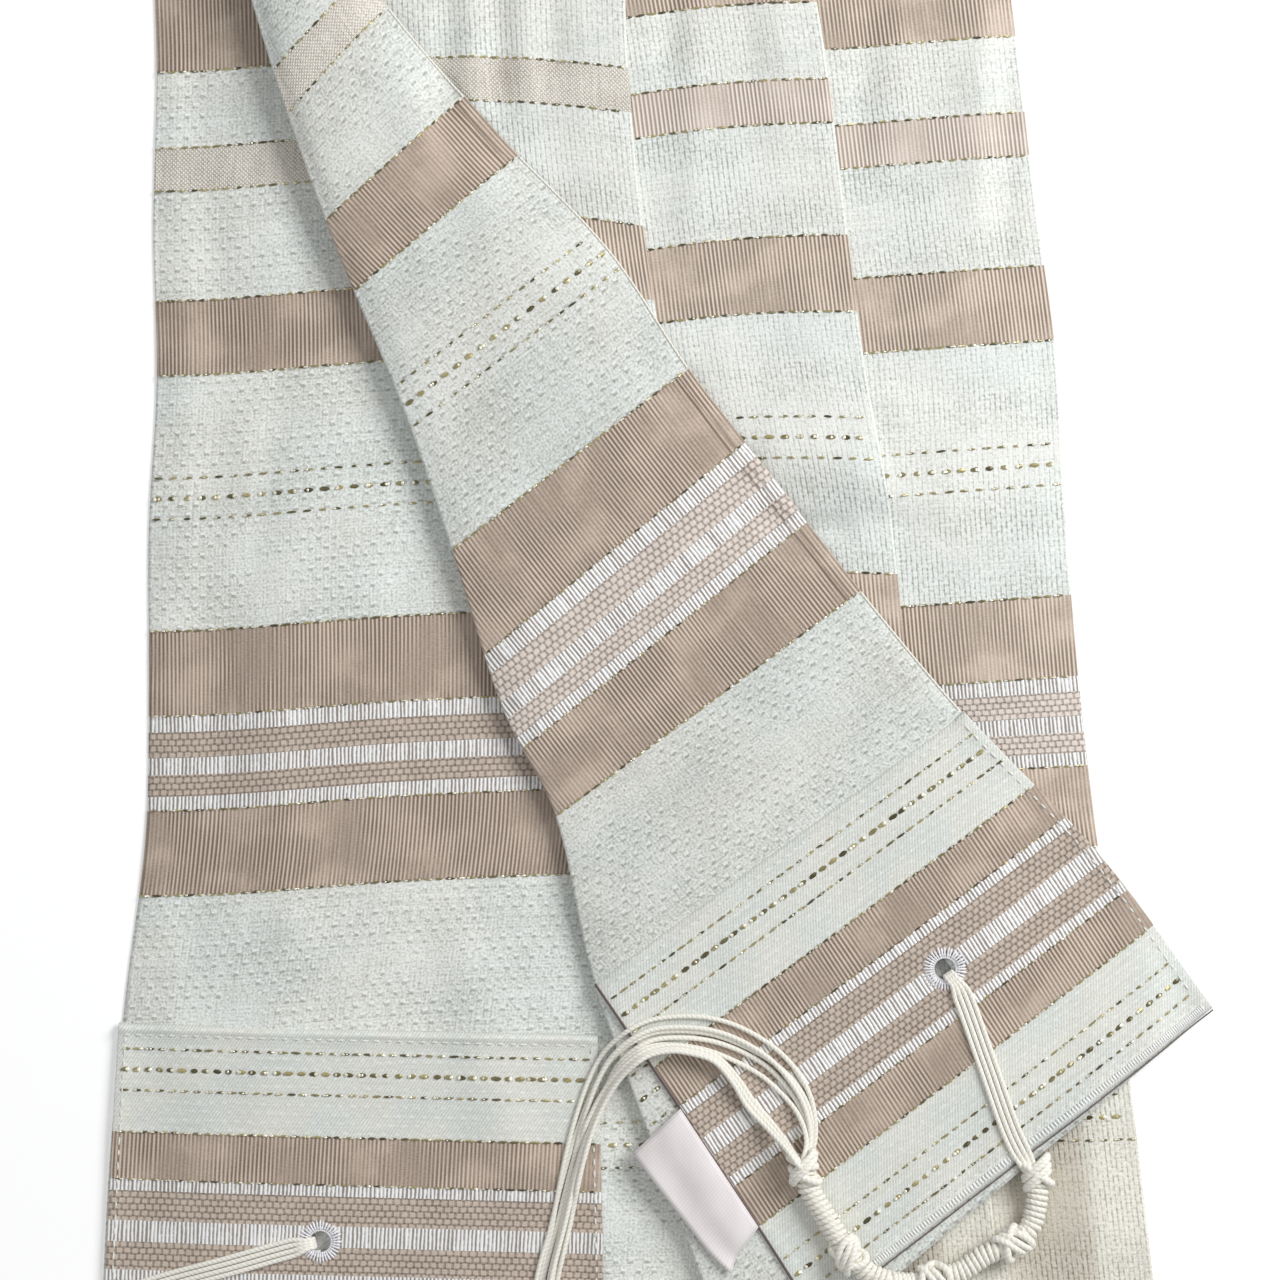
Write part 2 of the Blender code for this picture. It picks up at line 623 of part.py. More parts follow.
def front_strip(ground, into, material):
    made = add_object("front_end", front_strip_grid(ground), material, into)
    thicken(made, WALL)
    return made


def front_hidden_layers(ground, into, material):
    """The cloth turned under the strip, as one solid parallel to the strip's inner face."""
    rows = ground[1:]
    columns = range(CORE_FIRST_COLUMN, CORE_LAST_COLUMN + 1)
    mesh, points = grid_of(len(columns) - 1, len(rows) - 1)
    below_of = {}
    for row, spots in zip(points, rows):
        for point, j in zip(row, columns):
            x, up, below, full = spots[j]
            point.co = place_mm(x, up, below + STRIP_CLEARANCE + full - CORE_GAP)
            below_of[tuple(round(c, 7) for c in point.co)] = (below + CORE_GAP) * MM
    lower = bmesh.ops.extrude_face_region(mesh, geom=mesh.faces[:])["geom"]
    for point in lower:
        if isinstance(point, bmesh.types.BMVert):
            point.co.z = below_of[tuple(round(c, 7) for c in point.co)]
    bmesh.ops.recalc_face_normals(mesh, faces=mesh.faces[:])
    return add_object("front_hidden_layers", mesh, material, into)


def front_patch(ground, into, material):
    """The sewn corner square of the front half, cut to its seam on the left."""
    rows = [i for i, along in enumerate(ROWS_ALONG) if along <= FRONT_PATCH_TOP]
    mesh, points = grid_of(len(ACROSS_STRIP) - 1, len(rows) - 1)
    for row, i in zip(points, rows):
        for point, (x, up, below, full) in zip(row, ground[i]):
            point.co = place_mm(x, up, below + STRIP_CLEARANCE + full)
    move_outwards(mesh, WALL + PATCH_GAP)
    top, hem = place_mm(*PATCH_EDGE_TOP, 0.0), place_mm(*PATCH_EDGE_HEM, 0.0)
    seam = (hem - top).normalized()
    bmesh.ops.bisect_plane(
        mesh,
        geom=mesh.verts[:] + mesh.edges[:] + mesh.faces[:],
        plane_co=top,
        plane_no=Vector((-seam.y, seam.x, 0.0)),
        clear_inner=True,
    )
    made = add_object("corner_patch_front", mesh, material, into)
    thicken(made, TRIM_WALL)
    return made


def label(pile, into, material):
    """A bare satin tag whose one side is caught in the seam of the front patch."""
    mesh, points = grid_of(LABEL_COLUMNS, LABEL_ROWS)
    top, bottom = Vector(LABEL_SEAM_TOP), Vector(LABEL_SEAM_BOTTOM)
    reach = Vector(LABEL_REACH)
    for i, row in enumerate(points):
        for j, point in enumerate(row):
            seam_point = bottom.lerp(top, i / LABEL_ROWS)
            spot = seam_point + reach * (1.0 - j / LABEL_COLUMNS)
            height = pile.height(spot.x, spot.y, LABEL_PROBE) + LAYER_GAP
            point.co = place_mm(spot.x, spot.y, height)
    made = add_object("label", mesh, material, into)
    thicken(made, TRIM_WALL)
    return made


def cut_eyelet(made, place, cutters):
    """Cuts the round eyelet through one wall."""
    x, up = place
    mesh = bmesh.new()
    bmesh.ops.create_cone(
        mesh,
        cap_ends=True,
        segments=EYELET_SIDES,
        radius1=EYELET_RADIUS * MM,
        radius2=EYELET_RADIUS * MM,
        depth=EYELET_CUTTER_HEIGHT * MM,
    )
    bmesh.ops.translate(mesh, verts=mesh.verts[:], vec=place_mm(x, up, 0.0))
    data = bpy.data.meshes.new("eyelet cutter")
    mesh.to_mesh(data)
    mesh.free()
    cutter = bpy.data.objects.new("eyelet cutter", data)
    cutter.hide_render = True
    cutter.display_type = "WIRE"
    cutters.objects.link(cutter)
    hole = made.modifiers.new("eyelet", "BOOLEAN")
    hole.operation = "DIFFERENCE"
    hole.object = cutter


def smooth_route(points, step):
    """Even steps along a smooth curve through hand-placed points of any number of values."""
    fine = []
    last = len(points) - 1
    for i in range(last):
        before, start = Vector(points[max(0, i - 1)]), Vector(points[i])
        end, after = Vector(points[i + 1]), Vector(points[min(last, i + 2)])
        for k in range(CURVE_STEPS):
            t = k / CURVE_STEPS
            fine.append(
                0.5 * (2 * start + (end - before) * t
                       + (2 * before - 5 * start + 4 * end - after) * t**2
                       + (3 * start - before - 3 * end + after) * t**3)
            )
    fine.append(Vector(points[last]))
    lengths = [0.0]
    for a, b in zip(fine, fine[1:]):
        lengths.append(lengths[-1] + (b.to_2d() - a.to_2d()).length)
    count = max(2, round(lengths[-1] / step))
    route = []
    for k in range(count + 1):
        target = lengths[-1] * k / count
        i = next((n for n in range(1, len(fine)) if lengths[n] >= target - 1e-6), len(fine) - 1)
        t = (target - lengths[i - 1]) / max(1e-6, lengths[i] - lengths[i - 1])
        route.append(fine[i - 1].lerp(fine[i], t))
    return route


def beside(route, aside):
    """The route moved sideways, by a distance for each of its points."""
    moved = []
    for i, point in enumerate(route):
        ahead = route[min(i + 1, len(route) - 1)].to_2d() - route[max(i - 1, 0)].to_2d()
        normal = Vector((-ahead.y, ahead.x)).normalized()
        moved.append(point.to_2d() + normal * aside[i])
    return moved


def lying(pile, flat_route, radius, lift=0.0):
    """Heights that keep a cord of this radius on the pile along its route."""
    heights = []
    for i, spot in enumerate(flat_route):
        before, after = flat_route[max(0, i - 1)], flat_route[min(len(flat_route) - 1, i + 1)]
        near = [spot.lerp(end, t) for end in (before, after) for t in (0.0, 0.25, 0.5, 0.75, 1.0)]
        below = max(pile.height(p.x, p.y, radius + CORD_PROBE) for p in near)
        heights.append(below + LAYER_GAP + radius + lift)
    return heights


def tube(name, points, radii, resolution, into, material):
    """A closed tube through points in millimetres, as a welded mesh."""
    curve = bpy.data.curves.new(name, "CURVE")
    curve.dimensions = "3D"
    curve.bevel_depth = 1.0
    curve.bevel_resolution = resolution
    curve.use_fill_caps = True
    spline = curve.splines.new("POLY")
    spline.points.add(len(points) - 1)
    for knot, (x, up, height), radius in zip(spline.points, points, radii):
        knot.co = (*place_mm(x, up, height), 1.0)
        knot.radius = radius * MM
    guide = bpy.data.objects.new(name, curve)
    bpy.context.scene.collection.objects.link(guide)
    graph = bpy.context.evaluated_depsgraph_get()
    data = bpy.data.meshes.new_from_object(guide.evaluated_get(graph))
    bpy.data.objects.remove(guide)
    mesh = bmesh.new()
    mesh.from_mesh(data)
    bmesh.ops.remove_doubles(mesh, verts=mesh.verts[:], dist=1e-6)
    bmesh.ops.recalc_face_normals(mesh, faces=mesh.faces[:])
    bpy.data.meshes.remove(data)
    return add_object(name, mesh, material, into)


def tassel(plan, piles, into, cutters, material):
    """Knotted fringe of a corner: four cords, the wound part with its knots, eight strands."""
    pile = piles[plan.lies_on]
    wound = smooth_route(plan.wound, STEP_ALONG_WINDING)
    radii = [min(KNOT_RADIUS, max(WINDING_RADIUS, p.z)) for p in wound]
    flat = [p.to_2d() for p in wound]
    heights = lying(pile, flat, KNOT_RADIUS)
    head_points = [(p.x, p.y, h) for p, h in zip(flat, heights)]
    head = tube(plan.name, head_points, radii, 1, into, material)
    joined = collection(plan.name + " pieces", shown=False)
    cutters.children.link(joined)
    bpy.context.scene.collection.children.unlink(joined)
    pieces = []

    cords = smooth_route(plan.cords, STEP_ALONG_CORD)
    for k in range(CORDS):
        flat = beside(cords, [CORD_PITCH * (k - (CORDS - 1) / 2)] * len(cords))
        heights = lying(pile, flat, CORD_RADIUS)
        heights[-1] = heights[-2] = head_points[0][2]
        inside = Vector(head_points[0][:2]).lerp(Vector(head_points[1][:2]), REACH_INTO_KNOT)
        flat[-1] = inside + (flat[-1] - cords[-1].to_2d()) * REACH_INTO_KNOT
        pieces.append(([(p.x, p.y, h) for p, h in zip(flat, heights)], CORD_RADIUS, 0))
    if plan.eyelet:
        x, up = plan.eyelet
        rim = pile.height(x, up, EYELET_RADIUS + RIM_PROBE) + LAYER_GAP + CORD_RADIUS
        plug = [(x, up, rim - PLUG_DEPTH), (x, up, rim), (x, up, rim + PLUG_RISE)]
        pieces.append((plug, PLUG_RADIUS, 1))
        for points, _, _ in pieces[:CORDS]:
            inside = Vector(plan.eyelet).lerp(Vector(points[0][:2]), CORD_START_SHARE)
            points[0] = (*inside, rim + CORD_RISE_AT_RIM)
    strands = smooth_route(plan.strands, STEP_ALONG_STRAND)
    last = len(strands) - 1
    for k in range(2 * CORDS):
        row, layer = k % CORDS, k // CORDS
        aside = []
        for i in range(len(strands)):
            spread = STRAND_SPREAD_AT_KNOT
            spread += STRAND_SPREAD_GAIN * smooth_between(i, 0, STRAND_POINTS_AT_KNOT)
            spread += STRAND_SPREAD_AT_END * smooth_between(i, last - STRAND_POINTS_AT_END, last)
            place = row - (CORDS - 1) / 2 + LAYER_SIDE_SHIFT * layer
            aside.append(STRAND_PITCH * place * spread)
        flat = beside(strands, aside)
        lift = LAYER_PITCH * layer
        heights = lying(pile, flat, CORD_RADIUS, lift)
        heights[0] = head_points[-1][2] + LAYER_PITCH_AT_KNOT * (layer - 0.5)
        inside = Vector(head_points[-1][:2]).lerp(Vector(head_points[-2][:2]), REACH_INTO_KNOT)
        flat[0] = inside + (flat[0] - strands[0].to_2d()) * STRAND_SHARE_AT_KNOT
        end = last if k in SHORTER_STRANDS else last + 1
        points = [(p.x, p.y, h) for p, h in zip(flat, heights)][:end]
        pieces.append((points, CORD_RADIUS, 0))

    for points, radius, resolution in pieces:
        piece = tube("strand", points, [radius] * len(points), resolution, joined, material)
        piece.hide_render = True
        piece.display_type = "WIRE"
    union = head.modifiers.new("strands", "BOOLEAN")
    union.operation = "UNION"
    union.operand_type = "COLLECTION"
    union.collection = joined
    return head


def build():
    for old in list(bpy.data.objects):
        bpy.data.objects.remove(old)
    shawl = collection("tallit_prayer_shawl")
    cutters = collection("construction", shown=False)
    white = cloth_material("white woven cloth", WHITE_CLOTH, 0.9)
    hidden = cloth_material("hidden layers of cloth", HIDDEN_CLOTH, 0.95)
    patched = cloth_material("woven patch cloth", PATCH_CLOTH, 0.8)
    satin = cloth_material("label satin", SATIN, 0.4)
    cord = cloth_material("tassel cord", TASSEL_CORD, 0.85)

    pile = Pile()
    pile.lay(hidden_layers(shawl, hidden))
    pile.lay(under_layer(shawl, white))
    pile.lay(pleat("back_pleat_third", THIRD_PLEAT, HEM_OF_THIRD_PLEAT, shawl, white))
    pile.lay(pleat("back_pleat_second", SECOND_PLEAT, HEM_OF_SECOND_PLEAT, shawl, white))
    pile.lay(pleat("back_pleat_first", FIRST_PLEAT, HEM_OF_FIRST_PLEAT, shawl, white))
    left = left_panel(shawl, white)
    pile.lay(left)
    patch = back_patch(shawl, patched)
    back_half = Pile(pile.trees)
    ground = strip_ground(pile)
    strip = front_strip(ground, shawl, white)
    pile.lay(patch)
    front_hidden_layers(ground, shawl, hidden)
    pile.lay(strip)
    corner = front_patch(ground, shawl, patched)
    pile.lay(corner)
    pile.lay(label(pile, shawl, satin))
    piles = {"floor": Pile(), "back half": back_half, "shawl": pile}
    for plan in TASSELS:
        tassel(plan, piles, shawl, cutters, cord)
    for made, place in ((left, BACK_EYELET), (patch, BACK_EYELET), (strip, FRONT_EYELET),
                        (corner, FRONT_EYELET)):
        cut_eyelet(made, place, cutters)


build()
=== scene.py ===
"""The looks of a folded tallit prayer shawl: woven stripes, gold thread, patches, label and tassels.

Metres, +Z up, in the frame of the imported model. Tables are in millimetres: x across, and up = the
distance along Y from the hem of the back half. A distance "along" is measured on the cloth itself,
from its hem, and places the woven stripes.
"""

import math
import random
from collections import namedtuple

import bmesh
import bpy
import numpy as np
from mathutils import Matrix, Vector, noise
from mathutils.bvhtree import BVHTree


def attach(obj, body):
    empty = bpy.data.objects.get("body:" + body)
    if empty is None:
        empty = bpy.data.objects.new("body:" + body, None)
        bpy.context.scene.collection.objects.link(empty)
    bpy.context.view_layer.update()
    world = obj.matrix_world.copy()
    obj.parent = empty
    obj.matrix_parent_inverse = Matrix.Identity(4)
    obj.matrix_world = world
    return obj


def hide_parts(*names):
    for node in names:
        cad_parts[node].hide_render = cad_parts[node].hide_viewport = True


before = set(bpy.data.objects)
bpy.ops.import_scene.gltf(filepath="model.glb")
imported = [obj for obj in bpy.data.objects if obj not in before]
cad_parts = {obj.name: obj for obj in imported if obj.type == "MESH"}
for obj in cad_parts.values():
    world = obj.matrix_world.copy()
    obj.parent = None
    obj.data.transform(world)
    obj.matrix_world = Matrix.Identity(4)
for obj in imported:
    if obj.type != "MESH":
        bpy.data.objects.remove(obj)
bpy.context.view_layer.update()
random.seed(18)

# The camera looks straight down at the hem end of the folded shawl. A large soft light stands on
# the right, so that each fold casts its shadow to the left, and the table is plain and near white.
MM = 0.001
VIEW_CENTRE = (0.0026, -0.2421)
VIEW_WIDTH = 0.3368
CAMERA_HEIGHT = 1.5
FILM_WIDTH = 36.0
CLOTH_LEVEL = 0.006
LIT_MIDDLE = Vector((0.0, -0.1, 0.0))
ROOM_COLOUR = (0.98, 0.99, 1.0, 1.0)
ROOM_STRENGTH = 0.34
TABLE_REACH = 6.0

camera = bpy.data.objects.new("camera", bpy.data.cameras.new("camera"))
camera.data.sensor_width = FILM_WIDTH
camera.data.lens = FILM_WIDTH * CAMERA_HEIGHT / VIEW_WIDTH
camera.location = (*VIEW_CENTRE, CLOTH_LEVEL + CAMERA_HEIGHT)
bpy.context.scene.collection.objects.link(camera)
bpy.context.scene.camera = camera
bpy.context.scene.view_settings.view_transform = "Standard"

Lamp = namedtuple("Lamp", "name place width power")
for lamp in (
    Lamp("key light", (1.05, 0.42, 1.05), 0.8, 21.0),
    Lamp("fill light", (-0.9, -0.5, 1.9), 1.6, 6.0),
):
    light = bpy.data.lights.new(lamp.name, "AREA")
    light.size = lamp.width
    light.energy = lamp.power
    hung = bpy.data.objects.new(lamp.name, light)
    hung.location = lamp.place
    hung.rotation_euler = (LIT_MIDDLE - Vector(lamp.place)).to_track_quat("-Z", "Y").to_euler()
    bpy.context.scene.collection.objects.link(hung)

room = bpy.data.worlds.new("pale room")
room.use_nodes = True
room.node_tree.nodes["Background"].inputs["Color"].default_value = ROOM_COLOUR
room.node_tree.nodes["Background"].inputs["Strength"].default_value = ROOM_STRENGTH
bpy.context.scene.world = room


def made_piece(name, mesh, *finishes):
    """Turns a finished mesh into an object with its materials."""
    data = bpy.data.meshes.new(name)
    mesh.to_mesh(data)
    mesh.free()
    for finish in finishes:
        data.materials.append(finish)
    made = bpy.data.objects.new(name, data)
    bpy.context.scene.collection.objects.link(made)
    return made


table_paint = bpy.data.materials.new("pale table")
table_paint.use_nodes = True
for socket, value in (
    ("Base Color", (0.96, 0.96, 0.96, 1.0)),
    ("Roughness", 0.9),
    ("Emission Color", (1.0, 1.0, 1.0, 1.0)),
    ("Emission Strength", 0.2),
):
    table_paint.node_tree.nodes["Principled BSDF"].inputs[socket].default_value = value
table_mesh = bmesh.new()
bmesh.ops.create_grid(table_mesh, x_segments=1, y_segments=1, size=TABLE_REACH)
made_piece("table", table_mesh, table_paint)


# The hidden cloth of the back half: the shawl's own white cloth, turned under in flat layers
# below the pleats. It is one zigzag of thin cloth, whose edges show at the hem and the sides.
HALF_LENGTH = 900.0
CLOTH_THICKNESS = 0.45
PANEL_END = 888.0
HIDDEN_TURNS = 3
STEPS_ACROSS, STEPS_ROUND = 14, 4
FOLD_BULGE = 0.9
TURN_CREEP, HEM_CREEP = 1.3, 0.9
LAYER_SEAT = 0.35
LEFT_INSET, RIGHT_INSET = 21.0, 20.0
LEDGE_SHIFT = 6.0
UNDER_SOLID = 0.3
SIGHT_HEIGHT = 100.0
HIDDEN_ROWS = (20, 30, 45, 60, 90, 120, 150, 180, 210, 240, 270, 300, 330, 360, 400, 440, 480, 520,
               560, 600, 650, 700, 750, 800, 840, 870, 884)

Level = namedtuple("Level", "up left_edge first_fold second_fold third_fold right_edge")
LEVELS = [Level(*row) for row in (
    (0, -140.0, 31.0, 61.0, 101.0, 142.6),
    (40, -139.2, 29.5, 57.9, 97.4, 137.9),
    (80, -137.0, 26.3, 51.0, 92.6, 133.2),
    (120, -132.9, 19.7, 43.0, 85.5, 128.4),
    (160, -127.9, 5.3, 34.5, 78.9, 122.4),
    (200, -127.1, -10.5, 26.0, 72.9, 117.9),
    (240, -127.1, -26.8, 17.5, 68.7, 114.7),
    (280, -125.0, -44.2, 9.5, 61.6, 112.4),
    (320, -125.9, -60.0, 3.2, 56.3, 107.1),
    (360, -125.0, -73.7, -0.5, 51.3, 102.4),
    (400, -125.8, -82.0, -2.1, 44.7, 97.2),
    (460, -123.7, -84.5, -6.6, 38.2, 88.0),
    (540, -119.0, -83.0, -13.7, 28.4, 73.0),
    (640, -111.8, -78.0, -22.4, 16.3, 56.0),
    (740, -104.0, -71.0, -30.0, 6.0, 41.0),
    (820, -98.0, -66.0, -34.5, -2.0, 30.3),
    (900, -90.8, -61.0, -36.0, -8.0, 19.7),
)]


def along_table(rows, key, column, value):
    """Reads a column of a table at a value of its key, on a smooth curve through the rows."""
    keys = [getattr(row, key) for row in rows]
    values = [getattr(row, column) for row in rows]
    last = len(rows) - 1
    here = max(0, min(last - 1, sum(1 for k in keys[1:] if k <= value)))

    def slope(i):
        low, high = max(0, i - 1), min(last, i + 1)
        return (values[high] - values[low]) / (keys[high] - keys[low])

    span = keys[here + 1] - keys[here]
    t = (value - keys[here]) / span
    return (
        values[here] * (2 * t**3 - 3 * t**2 + 1)
        + values[here + 1] * (3 * t**2 - 2 * t**3)
        + slope(here) * span * (t**3 - 2 * t**2 + t)
        + slope(here + 1) * span * (t**3 - t**2)
    )


def level(column, up):
    return along_table(LEVELS, "up", column, max(0.0, min(HALF_LENGTH, up)))


def place_mm(x, up, height):
    return Vector((x, up - HALF_LENGTH / 2, height)) * MM


def smooth_between(value, low, high):
    t = min(1.0, max(0.0, (value - low) / (high - low)))
    return t * t * (3.0 - 2.0 * t)


def tree_of(node):
    """The surface of a CAD node, to find the height of its solid at a place."""
    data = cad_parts[node].data
    return BVHTree.FromPolygons([v.co for v in data.vertices], [p.vertices[:] for p in data.polygons])


def top_of(tree, x, up):
    """Height in millimetres of a surface seen from above, or of its nearest point beside it."""
    hit = tree.ray_cast(place_mm(x, up, SIGHT_HEIGHT), Vector((0.0, 0.0, -1.0)))[0]
    if hit is None:
        hit = tree.find_nearest(place_mm(x, up, 4.0))[0]
    return hit.z / MM


def srgb(red, green, blue):
    """A colour as the eye names it, from 0 to 255, as the numbers that a shader takes."""
    lit = [((c / 255 + 0.055) / 1.055) ** 2.4 if c > 10 else c / 3294 for c in (red, green, blue)]
    return (*lit, 1.0)


class Weave:
    """A value, colour or vector in a material's nodes, with the arithmetic that weaves need."""

    def __init__(self, tree, socket):
        self.tree = tree
        self.socket = socket

    def node(self, kind, settings=None, sockets=None, output=0):
        made = self.tree.nodes.new(kind)
        for name, value in (settings or {}).items():
            setattr(made, name, value)
        for key, value in (sockets or {}).items():
            if isinstance(value, Weave):
                self.tree.links.new(value.socket, made.inputs[key])
            else:
                made.inputs[key].default_value = value
        return Weave(self.tree, made.outputs[output])

    def maths(self, operation, *values):
        return self.node("ShaderNodeMath", {"operation": operation}, dict(enumerate(values)))

    def __add__(self, other):
        return self.maths("ADD", self, other)

    def __sub__(self, other):
        return self.maths("SUBTRACT", self, other)

    def __rsub__(self, other):
        return self.maths("SUBTRACT", other, self)

    def __mul__(self, other):
        return self.maths("MULTIPLY", self, other)

    def __truediv__(self, other):
        return self.maths("DIVIDE", self, other)

    __radd__ = __add__
    __rmul__ = __mul__

    def fract(self):
        return self.maths("FRACT", self)

    def wave(self, pitch):
        """Swings between 0 and 1 once in each pitch."""
        return self.maths("COSINE", self * (2 * math.pi / pitch)) * 0.5 + 0.5

    def size(self):
        return self.maths("ABSOLUTE", self)

    def square(self):
        return self.maths("MULTIPLY", self, self)

    def between(self, low, high):
        return self.node(
            "ShaderNodeMapRange",
            {"interpolation_type": "SMOOTHSTEP"},
            {"Value": self, "From Min": low, "From Max": high},
        )

    def blend(self, first, second):
        """The first colour where this value is 0 and the second where it is 1."""
        return self.node("ShaderNodeMix", {"data_type": "RGBA"}, {0: self, 6: first, 7: second}, 2)


class Finish:
    """A Principled material with its places on the cloth in millimetres: across and along."""

    def __init__(self, name, roughness, sheen=0.0, metallic=0.0):
        self.material = bpy.data.materials.new(name)
        self.material.use_nodes = True
        self.tree = self.material.node_tree
        self.shader = self.tree.nodes["Principled BSDF"]
        self.shader.inputs["Roughness"].default_value = roughness
        self.shader.inputs["Metallic"].default_value = metallic
        self.shader.inputs["Sheen Weight"].default_value = sheen
        self.places = Weave(self.tree, None).node("ShaderNodeUVMap", {"uv_map": "weave"})
        self.across = self.places.node("ShaderNodeSeparateXYZ", None, {0: self.places}, output=0)
        self.along = self.places.node("ShaderNodeSeparateXYZ", None, {0: self.places}, output=1)

    def mottle(self, across_scale, along_scale, detail=2.0):
        """Seeded unevenness, stretched by its scale each way (in turns a millimetre)."""
        where = self.across.node(
            "ShaderNodeCombineXYZ", None, {0: self.across * across_scale, 1: self.along * along_scale}
        )
        return where.node("ShaderNodeTexNoise", None, {"Vector": where, "Scale": 1.0, "Detail": detail})

    def spots(self, across_pitch, along_pitch, half_width, half_height, stagger=0.5, shift=0.0):
        """Staggered oval spots, 1 in their middle and 0 outside."""
        row = self.along / along_pitch + shift
        odd = (row.maths("FLOOR", row) * 0.5).fract() * 2.0
        sideways = (self.across / across_pitch + odd * stagger).fract() - 0.5
        lengthways = row.fract() - 0.5
        far = (sideways * (across_pitch / half_width)).square()
        tall = (lengthways * (along_pitch / half_height)).square()
        return 1.0 - (far + tall).between(0.45, 1.3)

    def colour(self, weave):
        self.tree.links.new(weave.socket, self.shader.inputs["Base Color"])

    def relief(self, weave, depth_mm):
        """Raises the surface by a depth where the value is 1."""
        sockets = {"Height": weave, "Distance": depth_mm * MM, "Strength": 1.0}
        bump = weave.node("ShaderNodeBump", None, sockets)
        self.tree.links.new(bump.socket, self.shader.inputs["Normal"])


def white_ground(name, dotted, light=250, dark=182):
    """White cotton: a fine plain weave with raised dots, or with small open leno cells."""
    dot_across, dot_along, cell_width, cell_length, pleat_middle = 4.1, 2.7, 1.35, 2.4, 175.0
    finish = Finish(name, 0.85, sheen=0.15)
    across, along = finish.across, finish.along
    cloud = finish.mottle(0.022, 0.03).between(0.38, 0.62)
    # Broad lighter and darker patches at random: uneven cloth, and partly painted shade standing in for the
    # soft shading across the cloth.
    patchy_tone = finish.mottle(0.035, 0.05, detail=3.0) - 0.5
    streaks = finish.mottle(1.7, 0.07) * 0.45 + finish.mottle(0.08, 2.0) * 0.45
    grain = finish.mottle(1.5, 1.5, detail=3.0)
    if dotted:
        threads = across.wave(1.0) * 0.5 + along.wave(0.9) * 0.5
        plain = finish.mottle(0.05, 0.07).between(0.36, 0.54)
        dots = finish.spots(dot_across, dot_along, 0.8, 0.45) * plain
        shade = finish.spots(dot_across, dot_along, 0.85, 0.42, shift=0.3) * plain
        tone = threads * 0.12 + streaks + grain * 1.5 + dots * 0.3 - shade * 0.35 - 0.65
        height = threads * 0.15 + dots * 0.8 + grain * 1.2
    else:
        column = across / cell_width
        odd = (column.maths("FLOOR", column) * 0.5).fract() * 2.0
        row = along / cell_length + odd * 0.5
        broken = finish.mottle(0.9, 0.6).between(0.25, 0.65)
        slits = column.wave(1.0).between(0.55, 1.0) * broken
        ends = row.wave(1.0).between(0.7, 1.0) * broken
        closed = finish.mottle(0.04, 0.05).between(0.35, 0.62) * 0.5
        gaps = (slits + ends * 0.45) * (1.0 - closed)
        tone = streaks + grain * 1.05 - gaps * 0.42 - 0.22
        height = grain * 0.8 + 0.8 - gaps * 0.7
        # Painted light near the hem: a painted warm reflection tints the leno cream, and a painted brown
        # shade darkens a band about the pleat's middle, where the fold is in shadow.
        painted_hem_reflection = 1.0 - along.between(50.0, 140.0)
        painted_fold_shade = painted_hem_reflection * (1.0 - (across - pleat_middle).size().between(9.0, 14.0)) * 0.6
    lit = cloud.blend(srgb(light - 5, light, light - 4), srgb(light - 1, light, light - 5))
    low = cloud.blend(srgb(dark - 7, dark - 4, dark - 11), srgb(dark - 2, dark - 1, dark - 11))
    if not dotted:
        # The painted warm reflection and the painted fold shade go into both colours.
        lit = painted_fold_shade.blend(painted_hem_reflection.blend(lit, srgb(243, 241, 230)), srgb(216, 207, 190))
        low = painted_fold_shade.blend(painted_hem_reflection.blend(low, srgb(168, 162, 147)), srgb(142, 131, 112))
    finish.colour((tone + patchy_tone * 0.5).between(0.0, 1.0).blend(low, lit))
    finish.relief(height, 0.15)
    return finish.material


WHITE_DOTTED = white_ground("white cotton with raised dots", True)


def woven_mesh(spots, places):
    """A grid of cloth through rows of spots, with each one's place in the weave."""
    width = len(spots[0])
    mesh = bmesh.new()
    bmesh.ops.create_grid(mesh, x_segments=width - 1, y_segments=len(spots) - 1, size=0.5)
    in_order = sorted(mesh.verts, key=lambda v: (round(v.co.y, 6), round(v.co.x, 6)))
    uv = mesh.loops.layers.uv.new("weave")
    place_of = {}
    for i, point in enumerate(in_order):
        row, column = divmod(i, width)
        point.co = spots[row][column]
        place_of[point] = places[row][column]
    for face in mesh.faces:
        for loop in face.loops:
            loop[uv].uv = place_of[loop.vert]
    return mesh


def cloth_piece(name, mesh, finishes, offset):
    """A sheet with its thickness, about its middle (0) or all below its face (-1)."""
    made = made_piece(name, mesh, *finishes)
    made.data.shade_smooth()
    wall = made.modifiers.new("cloth thickness", "SOLIDIFY")
    wall.thickness = CLOTH_THICKNESS * MM
    wall.offset = offset
    return made


def declare_sheet(made, node):
    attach(made, "root")
    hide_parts(node)


